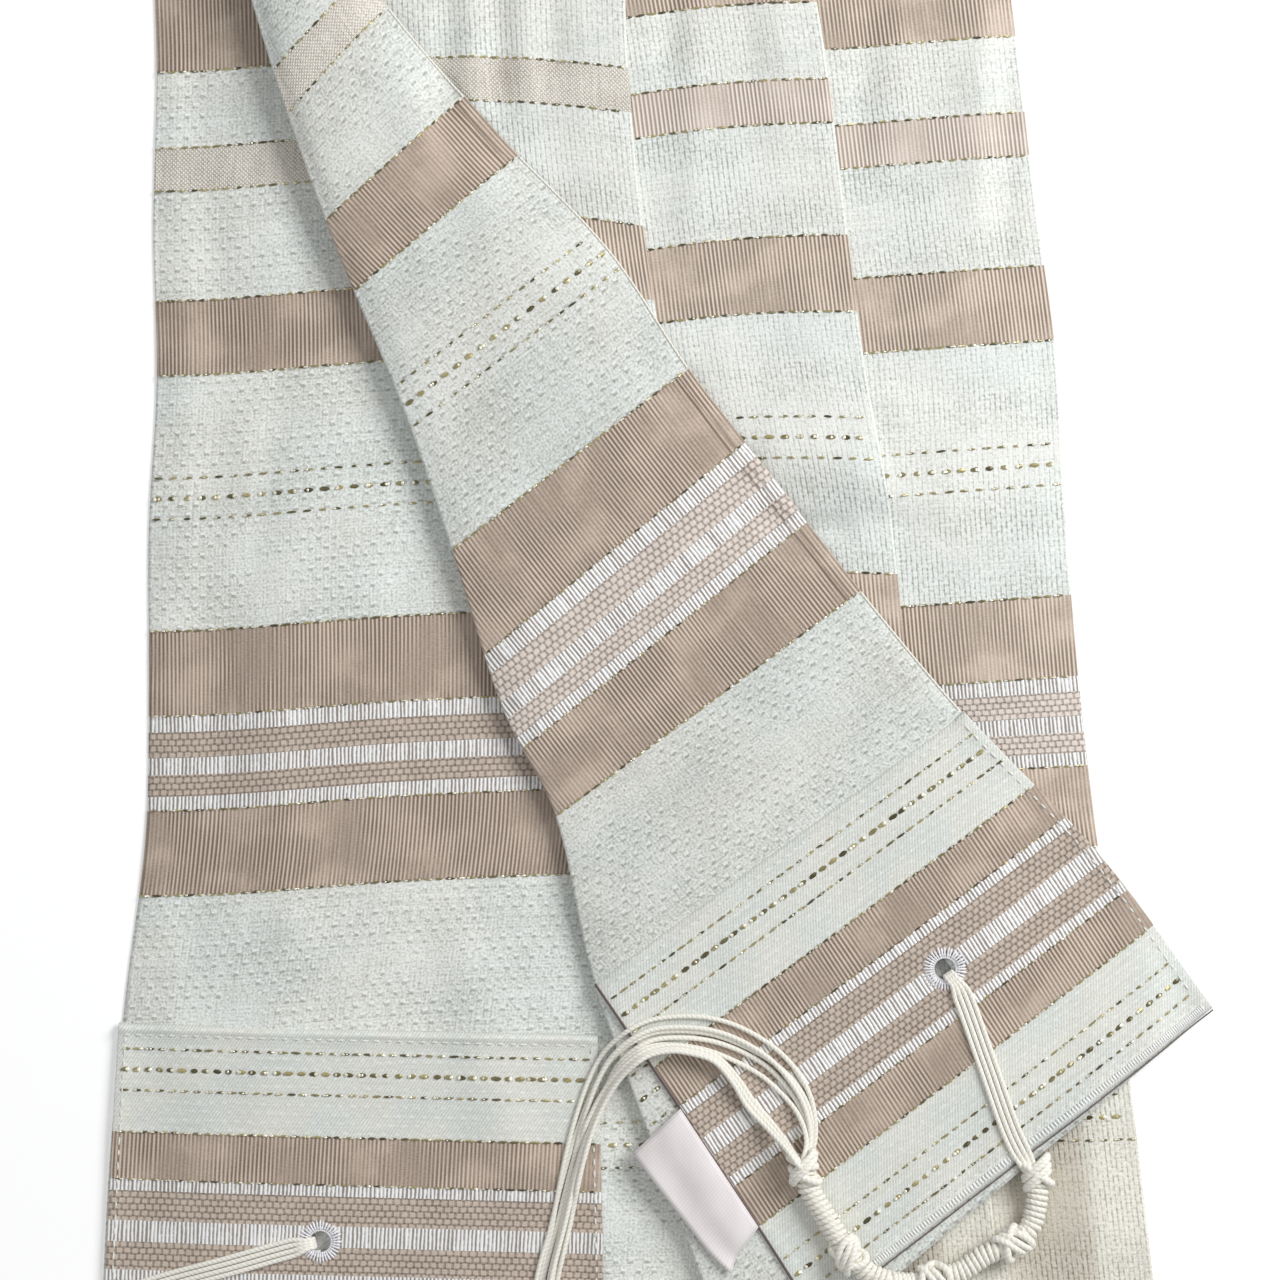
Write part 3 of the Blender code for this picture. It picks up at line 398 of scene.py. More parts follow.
def zigzag_cloth(name, rows, left_of, right_of, height_of):
    """Thin cloth folded to and fro between two sides, a turn above the other, as one sheet."""
    spots, places = [], []
    for up in rows:
        spots.append([])
        places.append([])
        for i in range(HIDDEN_TURNS * (STEPS_ACROSS + STEPS_ROUND) - STEPS_ROUND + 1):
            turn, step = divmod(i, STEPS_ACROSS + STEPS_ROUND)
            fraction, bulge, layer = step / STEPS_ACROSS, 0.0, turn
            if step > STEPS_ACROSS:
                angle = math.pi * (step - STEPS_ACROSS) / STEPS_ROUND
                fraction, bulge = 1.0, math.sin(angle) * FOLD_BULGE
                layer = turn + (1 - math.cos(angle)) / 2
            left, right = left_of(up) + TURN_CREEP * turn, right_of(up) - TURN_CREEP * turn
            sideways = fraction if turn % 2 == 0 else 1.0 - fraction
            x = left + (right - left) * sideways + (bulge if turn % 2 == 0 else -bulge)
            low, high = height_of(min(max(x, left), right), up)
            height = low + (high - low) * ((layer + LAYER_SEAT) / HIDDEN_TURNS)
            spots[-1].append(place_mm(x, up + HEM_CREEP * turn * (up == rows[0]), height))
            places[-1].append((turn * (right - left) + fraction * (right - left), up))
    mesh = woven_mesh(spots, places)
    mesh.normal_update()
    return cloth_piece(name, mesh, [WHITE_DOTTED], 0.0)


hidden_tree = tree_of("hidden_layers")
hidden_cloth = zigzag_cloth(
    "hidden_cloth_back",
    HIDDEN_ROWS,
    lambda up: level("left_edge", up) + LEFT_INSET,
    lambda up: level("right_edge", up) - RIGHT_INSET,
    lambda x, up: (0.2, max(0.8, top_of(hidden_tree, x, up + LEDGE_SHIFT) - UNDER_SOLID)),
)
declare_sheet(hidden_cloth, "hidden_layers")


# The shawl's visible stretches are cotton, woven with its stripes: tan ribbed bands, bands of
# silver bars and basket weave between them, and single gold threads. Each stretch is a thin sheet
# on its solid, whose folded edge turns under. The narrow margin on the right is laid first.
STEP_IN_VIEW = 2.0
STEP_BEYOND = 7.0
VIEW_LOW, VIEW_HIGH = 28.0, 392.0
TURN_RADIUS = 0.75
TURN_ANGLES = (30, 60, 90, 120, 150, 180)
# Where the two painted crease shadows run, across the front strip beside its selvage.
CREASE_SHADOW_PLACES = (995.4, 997.1)
RIB_PITCH, BAR_PITCH = 1.08, 1.05
BASKET_ROW, BASKET_COLUMN = 1.65, 2.05
MARGIN_WIDTH = 15.0
MARGIN_SHIFT = 12.0
MARGIN_PLACE = 300.0
EDGE_CROWDING = 0.045

WHITE, TAN, LIGHT_TAN, SILVER, BASKET = 0, 1, 2, 3, 4
Band = namedtuple("Band", "start end finish")
CLOTH_BANDS = [Band(*row) for row in (
    (143.7, 166.1, TAN), (166.1, 169.8, SILVER), (169.8, 175.5, BASKET), (175.5, 180.0, SILVER),
    (180.0, 186.8, BASKET), (186.8, 191.1, SILVER), (191.1, 213.5, TAN), (280.9, 300.6, TAN),
    (329.6, 341.0, LIGHT_TAN), (361.0, 382.0, TAN),
)]
GoldLine = namedtuple("GoldLine", "along half_thickness pitch")
CLOTH_GOLD = [GoldLine(*row) for row in (
    (66.0, 0.26, 4.0), (72.0, 0.5, 4.0), (78.0, 0.26, 4.0), (143.7, 0.26, 2.9),
    (166.1, 0.22, 3.1), (191.1, 0.22, 3.1), (213.5, 0.26, 2.9), (243.0, 0.26, 4.0),
    (248.4, 0.5, 4.0), (253.8, 0.26, 4.0), (280.9, 0.26, 2.9), (300.6, 0.26, 2.9),
    (329.6, 0.26, 3.1), (341.0, 0.26, 3.1), (361.0, 0.26, 2.9), (382.0, 0.26, 2.9),
)]

# Creases that the weight of the folds has pressed in: low ridges, or troughs below zero
Crease = namedtuple("Crease", "x_low up_low x_high up_high half_width height")
CREASES = [Crease(*row) for row in (
    (32, 239, 60, 237, 3.0, -1.5), (32, 257, 66, 255, 9.0, 2.0), (69, 274, 68, 240, 11.0, 2.4),
    (46, 303, 57, 304, 2.2, -0.6), (-34, 345, -36, 392, 3.2, -1.6),
    (-50, 335, -48, 380, 4.0, -1.6), (-42, 340, -42, 388, 3.2, 1.1),
    (-27, 345, -29, 390, 3.4, 1.0), (-20, 350, -20, 388, 2.6, -0.7), (104, 0, 105, 84, 6.0, -1.6),
    (122, -4, 121, 92, 7.5, 2.6), (88, 4, 92, 84, 5.0, -0.9), (98, 300, 102, 396, 3.6, -0.9),
    (91, 310, 94, 396, 4.0, 0.9), (60, 330, 64, 392, 3.6, -0.9), (9, 356, 12, 396, 3.6, -1.1),
    (15, 300, 18, 380, 3.8, 0.9), (-118, 205, -116, 330, 4.0, 0.5),
    (-110, 40, -122, 140, 6.0, 0.5), (-88, 110, -96, 205, 5.5, 0.6),
    (-100, 215, -90, 300, 4.5, -0.5), (-30, 60, -52, 160, 7.0, 0.7), (0, 10, -14, 92, 6.0, 0.6),
    (-62, 130, -70, 240, 6.5, 0.5), (20, 300, 24, 385, 5.0, 0.5), (34, 330, 30, 395, 4.0, -0.5),
    (84, 230, 80, 300, 6.0, 0.6), (96, 150, 90, 240, 6.0, 0.4), (70, 320, 74, 400, 5.0, 0.5),
    (-106, 430, -99, 600, 4.0, 0.9), (-98, 610, -92, 840, 4.5, -0.7),
    (-50, 440, -56, 590, 6.0, 0.8), (-34, 560, -48, 800, 5.0, 0.7), (10, 430, -2, 640, 5.0, 0.8),
    (-8, 640, -22, 850, 4.0, -0.6), (60, 430, 38, 620, 5.0, 0.8), (36, 630, 12, 860, 4.0, 0.7),
    (-120, -2, -118, 34, 5.0, 0.5), (-64, -2, -58, 30, 6.0, 0.6), (44, 14, 40, 40, 4.0, 0.4),
    (80, 12, 76, 44, 5.0, 0.5),
)]


def creases_at(x, up):
    """The pressed creases, and a weak unevenness that no two places share."""
    height = 0.0
    for crease in CREASES:
        run = Vector((crease.x_high - crease.x_low, crease.up_high - crease.up_low))
        there = Vector((x - crease.x_low, up - crease.up_low))
        t = there.dot(run) / run.length_squared
        if -0.1 < t < 1.1:
            ends = smooth_between(t, -0.08, 0.22) * smooth_between(1.0 - t, -0.08, 0.22)
            aside = abs(there.x * run.y - there.y * run.x) / run.length / crease.half_width
            height += crease.height * ends * math.exp(-aside * aside)
    broad = noise.noise(Vector((x / 17.0, up / 34.0, 2.0)))
    narrow = noise.noise(Vector((x / 7.0, up / 22.0, 5.0)))
    return height + 0.4 * broad + 0.14 * narrow


def painted_crease_shadows(finish):
    """Painted shadows of two sharp creases beside the front strip's selvage, where it was once folded and
    pressed: dark lines in the colour, with no crease in the surface.
    """
    wavering = finish.across + (finish.mottle(0.05, 0.03) - 0.5) * 1.5
    first = 1.0 - (wavering - CREASE_SHADOW_PLACES[0]).size().between(0.12, 0.5)
    second = 1.0 - (wavering - CREASE_SHADOW_PLACES[1]).size().between(0.08, 0.4)
    return first + second * finish.mottle(0.3, 0.06).between(0.3, 0.6)


def tan_ribs(name, dark, light):
    """Tan rayon whose ribs run down the cloth, crisp in some places and pressed flat in others."""
    finish = Finish(name, 0.6, sheen=0.1)
    wander = (finish.mottle(0.12, 0.02) - 0.5) * 0.9
    ribs = (finish.across + wander).wave(RIB_PITCH)
    crisp = finish.mottle(0.06, 0.035, detail=3.0).between(0.38, 0.6)
    pale = finish.mottle(0.05, 0.07, detail=3.0).between(0.42, 0.66)
    grain = finish.mottle(0.9, 3.2)
    split = finish.mottle(2.2, 0.05)
    tone = (ribs - 0.5) * (0.25 + crisp * 0.75) + split * 0.5 + grain * 0.5 + pale * 0.2 - 0.12
    # Painted shadow of the pressed creases darkens the ribs.
    tone = tone - painted_crease_shadows(finish) * 0.65
    finish.colour(tone.between(-0.12, 1.05).blend(dark, light))
    finish.relief(ribs * (0.3 + crisp * 0.6) + grain * 0.3, 0.2)
    return finish.material


def light_tan_plain():
    """The narrow stripe of light tan plain weave."""
    finish = Finish("light tan stripe", 0.7, sheen=0.1)
    checks = (finish.across + finish.along).wave(1.1) * (finish.across - finish.along).wave(1.1)
    grain = finish.mottle(1.8, 1.8)
    warmth = finish.mottle(0.05, 0.08)
    slubs = finish.mottle(1.3, 0.1)
    tone = checks * 0.55 + grain * 0.8 + warmth * 0.35 + slubs * 0.4 - 0.2
    finish.colour(tone.between(0.3, 1.05).blend(srgb(174, 166, 153), srgb(250, 246, 236)))
    finish.relief(checks + grain * 0.5, 0.14)
    return finish.material


def silver_bars():
    """Bright white rayon floats standing side by side, with dark gaps between them."""
    finish = Finish("silver bars", 0.38, sheen=0.0)
    wander = (finish.mottle(0.3, 0.1) - 0.5) * 0.7
    bars = (finish.across + wander).wave(BAR_PITCH)
    lit = finish.mottle(0.7, 0.06)
    broken = finish.mottle(1.4, 0.9)
    # Painted shadow of the pressed creases darkens the bars.
    tone = bars * 0.8 + (lit - 0.5) * 1.3 + (broken - 0.5) * 0.7 - painted_crease_shadows(finish) * 0.4
    finish.colour(tone.between(0.0, 0.6).blend(srgb(156, 146, 138), srgb(252, 252, 252)))
    finish.relief(bars + broken * 0.3, 0.16)
    return finish.material


def basket_weave(name, dark, light):
    """Rows of plump tan floats, side by side, with thin dark gaps round each."""
    finish = Finish(name, 0.6, sheen=0.05)
    row = (finish.along + (finish.mottle(0.5, 0.2) - 0.5) * 0.5) / BASKET_ROW
    odd = (row.maths("FLOOR", row) * 0.5).fract() * 2.0
    column = (finish.across + (finish.mottle(0.2, 0.5) - 0.5) * 0.5) / BASKET_COLUMN + odd * 0.5
    gaps = column.wave(1.0).between(0.58, 1.0) + row.wave(1.0).between(0.6, 1.0) * 0.8
    grain = finish.mottle(1.3, 1.9)
    patchy_tone = finish.mottle(0.12, 0.3)
    # Painted shadow of the pressed creases darkens the floats.
    tone = 0.16 - gaps * 0.36 + grain * 0.75 + patchy_tone * 0.4 - painted_crease_shadows(finish) * 0.5
    finish.colour(tone.between(-0.1, 0.95).blend(dark, light))
    finish.relief(0.8 - gaps * 0.6 + grain * 0.4, 0.26)
    return finish.material


# The front strip's white is a darker copy of the dotted white: painted shade, for the strip lies in duller
# light than the left panel.
WHITE_STRIP_PAINTED_DARKER = white_ground("white cotton of the front strip", True, light=241, dark=172)
WHITE_LENO = white_ground("white cotton with open cells", False, light=251, dark=178)
TAN_BAND = tan_ribs("tan ribbed band", srgb(128, 112, 98), srgb(222, 203, 186))
LIGHT_STRIPE, SILVER_STRIPE = light_tan_plain(), silver_bars()
TAN_BASKET = basket_weave("basket weave", srgb(120, 105, 94), srgb(212, 196, 181))
PALE_BASKET = basket_weave("pale basket weave", srgb(142, 128, 118), srgb(238, 226, 216))
STRIPE_FINISHES = [TAN_BAND, LIGHT_STRIPE, SILVER_STRIPE, TAN_BASKET]
STRIP_FINISHES = [TAN_BAND, LIGHT_STRIPE, SILVER_STRIPE, PALE_BASKET]
PALE_TAN = tan_ribs("pale tan ribbed band", srgb(140, 125, 111), srgb(238, 220, 203))
NARROW_TAN = tan_ribs("narrow ribbed stripe", srgb(176, 161, 149), srgb(248, 235, 224))


def rows_between(low, high, marks, in_view):
    """Distances along the cloth, even between the stripes' own edges."""
    edges = sorted({low, high} | {m for m in marks if low < m < high})
    rows = [low]
    for start, end in zip(edges, edges[1:]):
        step = STEP_IN_VIEW if in_view(start) or in_view(end) else STEP_BEYOND
        count = max(1, math.ceil((end - start) / step))
        rows += [start + (end - start) * k / count for k in range(1, count + 1)]
    return rows


def cloth_rows(low, high):
    marks = [b.start for b in CLOTH_BANDS] + [b.end for b in CLOTH_BANDS]
    marks += [VIEW_LOW, VIEW_HIGH]
    return rows_between(low, high, marks, lambda along: VIEW_LOW <= along <= VIEW_HIGH)


def eased(heights, rounds):
    """Heights with the solid's flat facets smoothed away."""
    for _ in range(rounds):
        wide = np.pad(heights, 1, mode="edge")
        heights = (
            2 * heights + wide[:-2, 1:-1] + wide[2:, 1:-1] + wide[1:-1, :-2] + wide[1:-1, 2:]
        ) / 6
    return heights


def ridge(place, middle, width):
    """A rounded ridge of height 1 at a place, for cloth that is raised or sunk along a line."""
    return np.exp(-(((place - middle) / width) ** 2))


class LaidCloth:
    """A sheet of cloth laid on a solid, kept as its points and its own woven places."""

    def __init__(self, rows, spots, tree, lift=0.0, easing=10):
        """spots[row][column] is (x, up, across) in millimetres."""
        self.rows = np.array(rows, float)
        spots = np.array(spots, float)
        tops = np.array([[top_of(tree, x, up) for x, up, _ in row] for row in spots])
        bumps = np.array([[creases_at(x, up) for x, up, _ in row] for row in spots])
        self.points = np.dstack([spots[:, :, 0], spots[:, :, 1], eased(tops, easing) + bumps + lift])
        self.across = spots[:, :, 2]
        self.seen = self.points.copy()
        self.seen_across = self.across.copy()

    def turn_under(self, side, reach=(3.0, 8.0), radius=TURN_RADIUS):
        """Curls the left (-1) or right (1) edge round and runs it back beneath the sheet."""
        last, near = (-1, -2) if side > 0 else (0, 1)
        edge, start = self.points[:, last], self.across[:, last]
        out = (edge - self.points[:, near]) * (1.0, 1.0, 0.0)
        out /= np.linalg.norm(out, axis=1, keepdims=True)
        down = np.array((0.0, 0.0, -1.0))
        added, places = [], []
        for degrees in TURN_ANGLES:
            angle = math.radians(degrees)
            added.append(edge + radius * (out * math.sin(angle) + down * (1 - math.cos(angle))))
            places.append(start + side * radius * angle)
        for back in reach:
            added.append(edge - out * back + down * 2 * radius)
            places.append(start + side * (radius * math.pi + back))
        new_points, new_across = np.stack(added[::side], axis=1), np.stack(places[::side], axis=1)
        self.points = np.concatenate([self.points, new_points][::side], axis=1)
        self.across = np.concatenate([self.across, new_across][::side], axis=1)

    def make(self, name, finishes, bands, hole=None, hole_radius=0.0):
        """Turns the points into a mesh with its woven places and the finish of each band."""
        lowest = CLOTH_THICKNESS + 0.1
        spots = [[place_mm(x, up, max(z, lowest)) for x, up, z in row] for row in self.points]
        places = [[(across, along) for across in row] for row, along in zip(self.across, self.rows)]
        mesh = woven_mesh(spots, places)
        uv = mesh.loops.layers.uv["weave"]
        for face in mesh.faces:
            along = sum(loop[uv].uv.y for loop in face.loops) / 4
            face.material_index = next((b.finish for b in bands if b.start < along < b.end), WHITE)
        if hole:
            centre = place_mm(*hole, 0.0).to_2d()
            reach = hole_radius * MM
            inside = [f for f in mesh.faces if (f.calc_center_median().to_2d() - centre).length < reach]
            bmesh.ops.delete(mesh, geom=inside, context="FACES")
        mesh.normal_update()
        if sum(face.normal.z for face in mesh.faces) < 0.0:
            bmesh.ops.reverse_faces(mesh, faces=mesh.faces[:])
        self.tree = BVHTree.FromBMesh(mesh)
        return cloth_piece(name, mesh, finishes, -1.0)

    def at(self, share, along):
        """The point of the seen cloth at a share of its width and a distance along it."""
        row = float(np.interp(along, self.rows, np.arange(len(self.rows))))
        column = share * (self.seen.shape[1] - 1)
        i, j = min(int(row), self.seen.shape[0] - 2), min(int(column), self.seen.shape[1] - 2)
        s, t = row - i, column - j
        grid = self.seen
        return Vector(
            (grid[i, j] * (1 - t) + grid[i, j + 1] * t) * (1 - s)
            + (grid[i + 1, j] * (1 - t) + grid[i + 1, j + 1] * t) * s
        )


def shares(count):
    """Shares of a width, closer together near its two edges."""
    even = [k / count for k in range(count + 1)]
    return [t - EDGE_CROWDING * math.sin(2 * math.pi * t) for t in even]


def under_edge(up):
    """How far the margin's folded edge comes out from under the third pleat."""
    showing = smooth_between(up, 268.0, 300.0)
    showing += smooth_between(up, 178.0, 188.0) * (1.0 - smooth_between(up, 212.0, 226.0))
    return level("right_edge", up) - 3.0 + 2.8 * min(1.0, showing)


margin_rows = cloth_rows(2.0, PANEL_END - MARGIN_SHIFT)
margin_spots = []
for along in margin_rows:
    up = along + MARGIN_SHIFT
    left, right = level("right_edge", up) - MARGIN_WIDTH, under_edge(up) - TURN_RADIUS
    across = [(right - left) * t for t in shares(8)]
    margin_spots.append([(left + a, up, MARGIN_PLACE - (right - left) + a) for a in across])
margin = LaidCloth(margin_rows, margin_spots, tree_of("under_layer_right"), lift=0.45)
margin.turn_under(1, (3.0, 7.0))
PLEAT_FINISHES = [WHITE_LENO, PALE_TAN, NARROW_TAN, SILVER_STRIPE, PALE_BASKET]
margin_cloth = margin.make("under_layer_right_cloth", PLEAT_FINISHES, CLOTH_BANDS)
declare_sheet(margin_cloth, "under_layer_right")


# The three knife pleats of the back half, folded from the same cloth and laid from right to left.
# Each one's folded edge turns under and rests on the next, and its other edge is tucked away.
PLEAT_TUCK = 9.0
PLEAT_PLACE = 200.0
GATHER_START, GATHER_END = 420.0, 700.0

Offset = namedtuple("Offset", "along left right")
Pleat = namedtuple("Pleat", "name start fold columns arch offsets")
PLEATS = (
    Pleat("back_pleat_third", "third_fold", "right_edge", 30, 0.0, (
        Offset(0, 10.0, 10.0), Offset(72, 9.6, 10.4), Offset(143.7, 8.0, 9.8),
        Offset(180, 4.8, 8.0), Offset(213.5, 2.4, 6.3), Offset(300, 1.8, 6.1),
        Offset(382, 1.6, 6.0), Offset(600, 1.0, 2.0), Offset(888, 0.0, 0.0),
    )),
    Pleat("back_pleat_second", "second_fold", "third_fold", 32, 1.4, (
        Offset(0, 12.6, 12.6), Offset(143.7, 11.6, 12.2), Offset(213.5, 11.0, 11.8),
        Offset(248, 10.6, 12.4), Offset(300, 8.6, 14.0), Offset(382, 9.2, 14.6),
        Offset(600, 4.0, 7.0), Offset(888, 0.0, 0.0),
    )),
    Pleat("back_pleat_first", "first_fold", "second_fold", 36, 2.6, (
        Offset(0, 18.0, 18.0), Offset(213.5, 17.8, 17.4), Offset(300, 18.6, 16.4),
        Offset(382, 17.6, 18.2), Offset(600, 8.0, 9.0), Offset(888, 0.0, 0.0),
    )),
)

laid = {"under_layer_right": margin}
for pleat in PLEATS:
    rows = cloth_rows(0.0, PANEL_END)
    spots = []
    for along in rows:
        left_lift = along_table(pleat.offsets, "along", "left", along)
        right_lift = along_table(pleat.offsets, "along", "right", along)
        up = along + (left_lift + right_lift) / 2
        to_neck = HALF_LENGTH - min(up, HALF_LENGTH)
        left = level(pleat.start, up) - PLEAT_TUCK * (0.35 + 0.65 * min(1.0, to_neck / 500.0))
        right = level(pleat.fold, up) - TURN_RADIUS
        ungathered = 1.0 - smooth_between(along, GATHER_START, GATHER_END)
        arch = pleat.arch * smooth_between(along, 120.0, 260.0) * ungathered
        row = []
        for t in shares(pleat.columns):
            lift = left_lift + (right_lift - left_lift) * t + arch * math.sin(math.pi * t)
            across = (right - left) * t
            row.append((left + across, along + lift, PLEAT_PLACE - (right - left) + across))
        spots.append(row)
    cloth = LaidCloth(rows, spots, tree_of(pleat.name))
    cloth.turn_under(1)
    finishes = list(PLEAT_FINISHES)
    if pleat.name == "back_pleat_first":
        finishes[LIGHT_TAN] = LIGHT_STRIPE
    made = cloth.make(pleat.name + "_cloth", finishes, CLOTH_BANDS)
    declare_sheet(made, pleat.name)
    laid[pleat.name] = cloth


# The wide left panel of the back half ends in the cloth's selvage on the left, which lies on the
# table, and in a folded edge on the right. A round hole is worked for the tassel near its corner.
BACK_EYELET = (-81.6, 49.5)
FRONT_EYELET = (82.6, 121.6)
EYELET_HOLE = 3.6
SELVAGE_SINK = 0.7
Slant = namedtuple("Slant", "x lift")
LEFT_PANEL_SLANT = (
    Slant(-145, -3.6), Slant(-128, -3.4), Slant(-108, -2.8), Slant(-60, 0.8), Slant(-10, 2.7),
    Slant(35, 3.2),
)

rows = cloth_rows(0.0, PANEL_END - 2.0)
spots = []
for along in rows:
    left, right = level("left_edge", along), level("first_fold", along) - TURN_RADIUS
    ungathered = 1.0 - smooth_between(along, GATHER_START, GATHER_END)
    row = []
    for t in shares(80):
        x = left + (right - left) * t
        lift = along_table(LEFT_PANEL_SLANT, "x", "lift", x) * ungathered
        row.append((x, along + lift, x - left))
    spots.append(row)
left_panel = LaidCloth(rows, spots, tree_of("back_left_panel"))
left_panel.points[:, :, 2] -= SELVAGE_SINK * ridge(left_panel.across, 0.0, 3.0)
left_panel.turn_under(1)
left_panel_cloth = left_panel.make(
    "back_left_panel_cloth", [WHITE_DOTTED] + STRIPE_FINISHES, CLOTH_BANDS, BACK_EYELET, EYELET_HOLE
)
declare_sheet(
    left_panel_cloth, "back_left_panel",
)
laid["back_left_panel"] = left_panel


# The front half of the shawl lies over the back half as one long strip: a rounded fold on the
# left, the selvage on the right. Further up it gathers into a soft roll, and it turns down at the
# neck fold, where both halves are one cloth.
STRIP_END = 900.0
SELVAGE_PLACE = 1000.0
SELVAGE_LOWER, LOOSE_SELVAGE = 0.9, 300.0
NECK_START = 889.0
NECK_DEPTH = 13.0
NECK_FLOOR = 0.4
NECK_ANGLES = (18, 36, 54, 72, 90)
Rung = namedtuple("Rung", "along left_x left_up right_x right_up")
RUNGS = [Rung(*row) for row in (
    (0, 30.3, 7.9, 153.4, 110.8), (51, 10.3, 63.4, 122.9, 151.6), (102, -9.5, 118.2, 87.4, 188.9),
    (144, -19.7, 161.8, 60.5, 221.1), (179, -33.7, 190.3, 38.4, 249.7),
    (213, -46.6, 230.8, 15.8, 278.9), (248, -59.5, 268.4, -5.3, 310.3),
    (291, -76.3, 308.7, -36.6, 343.2), (335, -91.6, 351.0, -66.5, 378.4),
    (372, -102.6, 388.0, -78.9, 403.9), (420, -110.0, 424.0, -83.2, 428.0),
    (480, -115.3, 474.0, -84.2, 475.0), (560, -115.0, 545.0, -81.0, 545.0),
    (660, -111.8, 645.0, -75.0, 645.0), (760, -105.8, 747.0, -60.5, 747.0),
    (840, -98.7, 826.0, -28.9, 826.0), (900, -90.8, NECK_START, 18.0, NECK_START),
)]


def strip_spot(share, along):
    """A place on the front strip, and how far across the cloth it is, counted to its selvage."""
    rung = {c: along_table(RUNGS, "along", c, along) for c in Rung._fields}
    left = Vector((rung["left_x"], rung["left_up"]))
    right = Vector((rung["right_x"], rung["right_up"]))
    width = (right - left).length
    inner = left.lerp(right, TURN_RADIUS / width)
    spot = inner.lerp(right, share)
    return spot.x, spot.y, SELVAGE_PLACE - (right - spot).length


strip_tree = tree_of("front_end")
rows = cloth_rows(0.0, STRIP_END)
spots = [[strip_spot(t, along) for t in shares(40)] for along in rows]
strip = LaidCloth(rows, spots, strip_tree, easing=8)
selvage_sink = SELVAGE_LOWER * ridge(strip.across, SELVAGE_PLACE, 2.0)
strip.points[:, :, 2] -= selvage_sink * (strip.rows < LOOSE_SELVAGE)[:, None]
strip.seen = strip.points.copy()
neck_rows, neck_points, neck_across = [], [], []
for degrees in NECK_ANGLES:
    angle = math.radians(degrees)
    last = strip.points[-1].copy()
    last[:, 1] += NECK_DEPTH * math.sin(angle)
    last[:, 2] = NECK_FLOOR + (last[:, 2] - NECK_FLOOR) * math.cos(angle)
    neck_rows.append(STRIP_END + NECK_DEPTH * angle)
    neck_points.append(last)
    neck_across.append(strip.across[-1])
strip.points = np.concatenate([strip.points, np.stack(neck_points)])
strip.across = np.concatenate([strip.across, np.stack(neck_across)])
strip.rows = np.concatenate([strip.rows, neck_rows])
strip.seen, strip.seen_across = strip.points.copy(), strip.across.copy()
strip.turn_under(-1, (3.0, 7.0))
strip_cloth = strip.make(
    "front_end_cloth", [WHITE_STRIP_PAINTED_DARKER] + STRIP_FINISHES, CLOTH_BANDS, FRONT_EYELET, EYELET_HOLE
)
declare_sheet(
    strip_cloth, "front_end",
)
laid["front_end"] = strip

front_hidden_tree = tree_of("front_hidden_layers")


def front_hidden_height(x, up):
    top = top_of(front_hidden_tree, x, up)
    below = front_hidden_tree.ray_cast(place_mm(x, up, -1.0), Vector((0.0, 0.0, 1.0)))[0]
    low = below.z / MM if below else top - 1.0
    return low + 0.1, max(top - UNDER_SOLID, low + 0.4)


FRONT_HIDDEN_ROWS = (420, 450, 490, 530, 570, 620, 670, 720, 770, 810, 845, 870, 886)
ROLL = RUNGS[10:]
front_hidden_cloth = zigzag_cloth(
    "hidden_cloth_front",
    FRONT_HIDDEN_ROWS,
    lambda up: along_table(ROLL, "left_up", "left_x", up) + 6.0,
    lambda up: along_table(ROLL, "left_up", "right_x", up) - 6.0,
    front_hidden_height,
)
declare_sheet(
    front_hidden_cloth, "front_hidden_layers"
)


# The corner patches are squares of the same striped cloth, woven with the stripes closer, turned
# in at their edges and sewn over the corners to hold the tassels. Stripes count from their seam.
PATCH_LENGTH = 110.0
PATCH_BANDS = [Band(*row) for row in (
    (28.7, 41.3, TAN), (41.3, 44.3, SILVER), (44.3, 52.2, BASKET), (52.2, 57.8, SILVER),
    (57.8, 65.2, BASKET), (65.2, 68.2, SILVER), (68.2, 80.9, TAN),
)]
PATCH_GOLD = [GoldLine(*row) for row in (
    (6.6, 0.26, 3.2), (12.1, 0.5, 3.2), (17.6, 0.26, 3.2), (28.7, 0.26, 2.9), (41.3, 0.2, 3.1),
    (68.2, 0.2, 3.1), (80.9, 0.26, 2.9), (92.2, 0.26, 3.2), (97.7, 0.5, 3.2), (103.2, 0.26, 3.2),
)]
SEAM_MARKS = (0.6, 1.2, 1.8, 2.4, 3.2, 107.0, 109.0)
PATCH_TURN = 0.38
SEAM_PLACE, SEAM_RIDGE, SEAM_EDGE, HEM_RIDGE = 1.6, 0.8, 0.5, 0.3
SIDE_PLACE, SIDE_RIDGE = 1.4, 0.35
FRONT_PATCH_REACH = 102.0

Edge = namedtuple("Edge", "down x up")
BACK_PATCH_LEFT = (Edge(0, -134.6, 106.8), Edge(50, -137.4, 57.2), Edge(110, -140.0, -3.0))
BACK_PATCH_RIGHT = (Edge(0, -8.9, 104.0), Edge(50, -7.7, 54.0), Edge(80, -7.2, 25.0),
                    Edge(110, -6.8, 1.6))
FRONT_PATCH_LEFT = (Edge(0, -9.5, 118.2), Edge(19, 0.8, 103.2), Edge(42, 13.2, 85.0),
                    Edge(81, 33.7, 53.9), Edge(110, 48.7, 30.5))


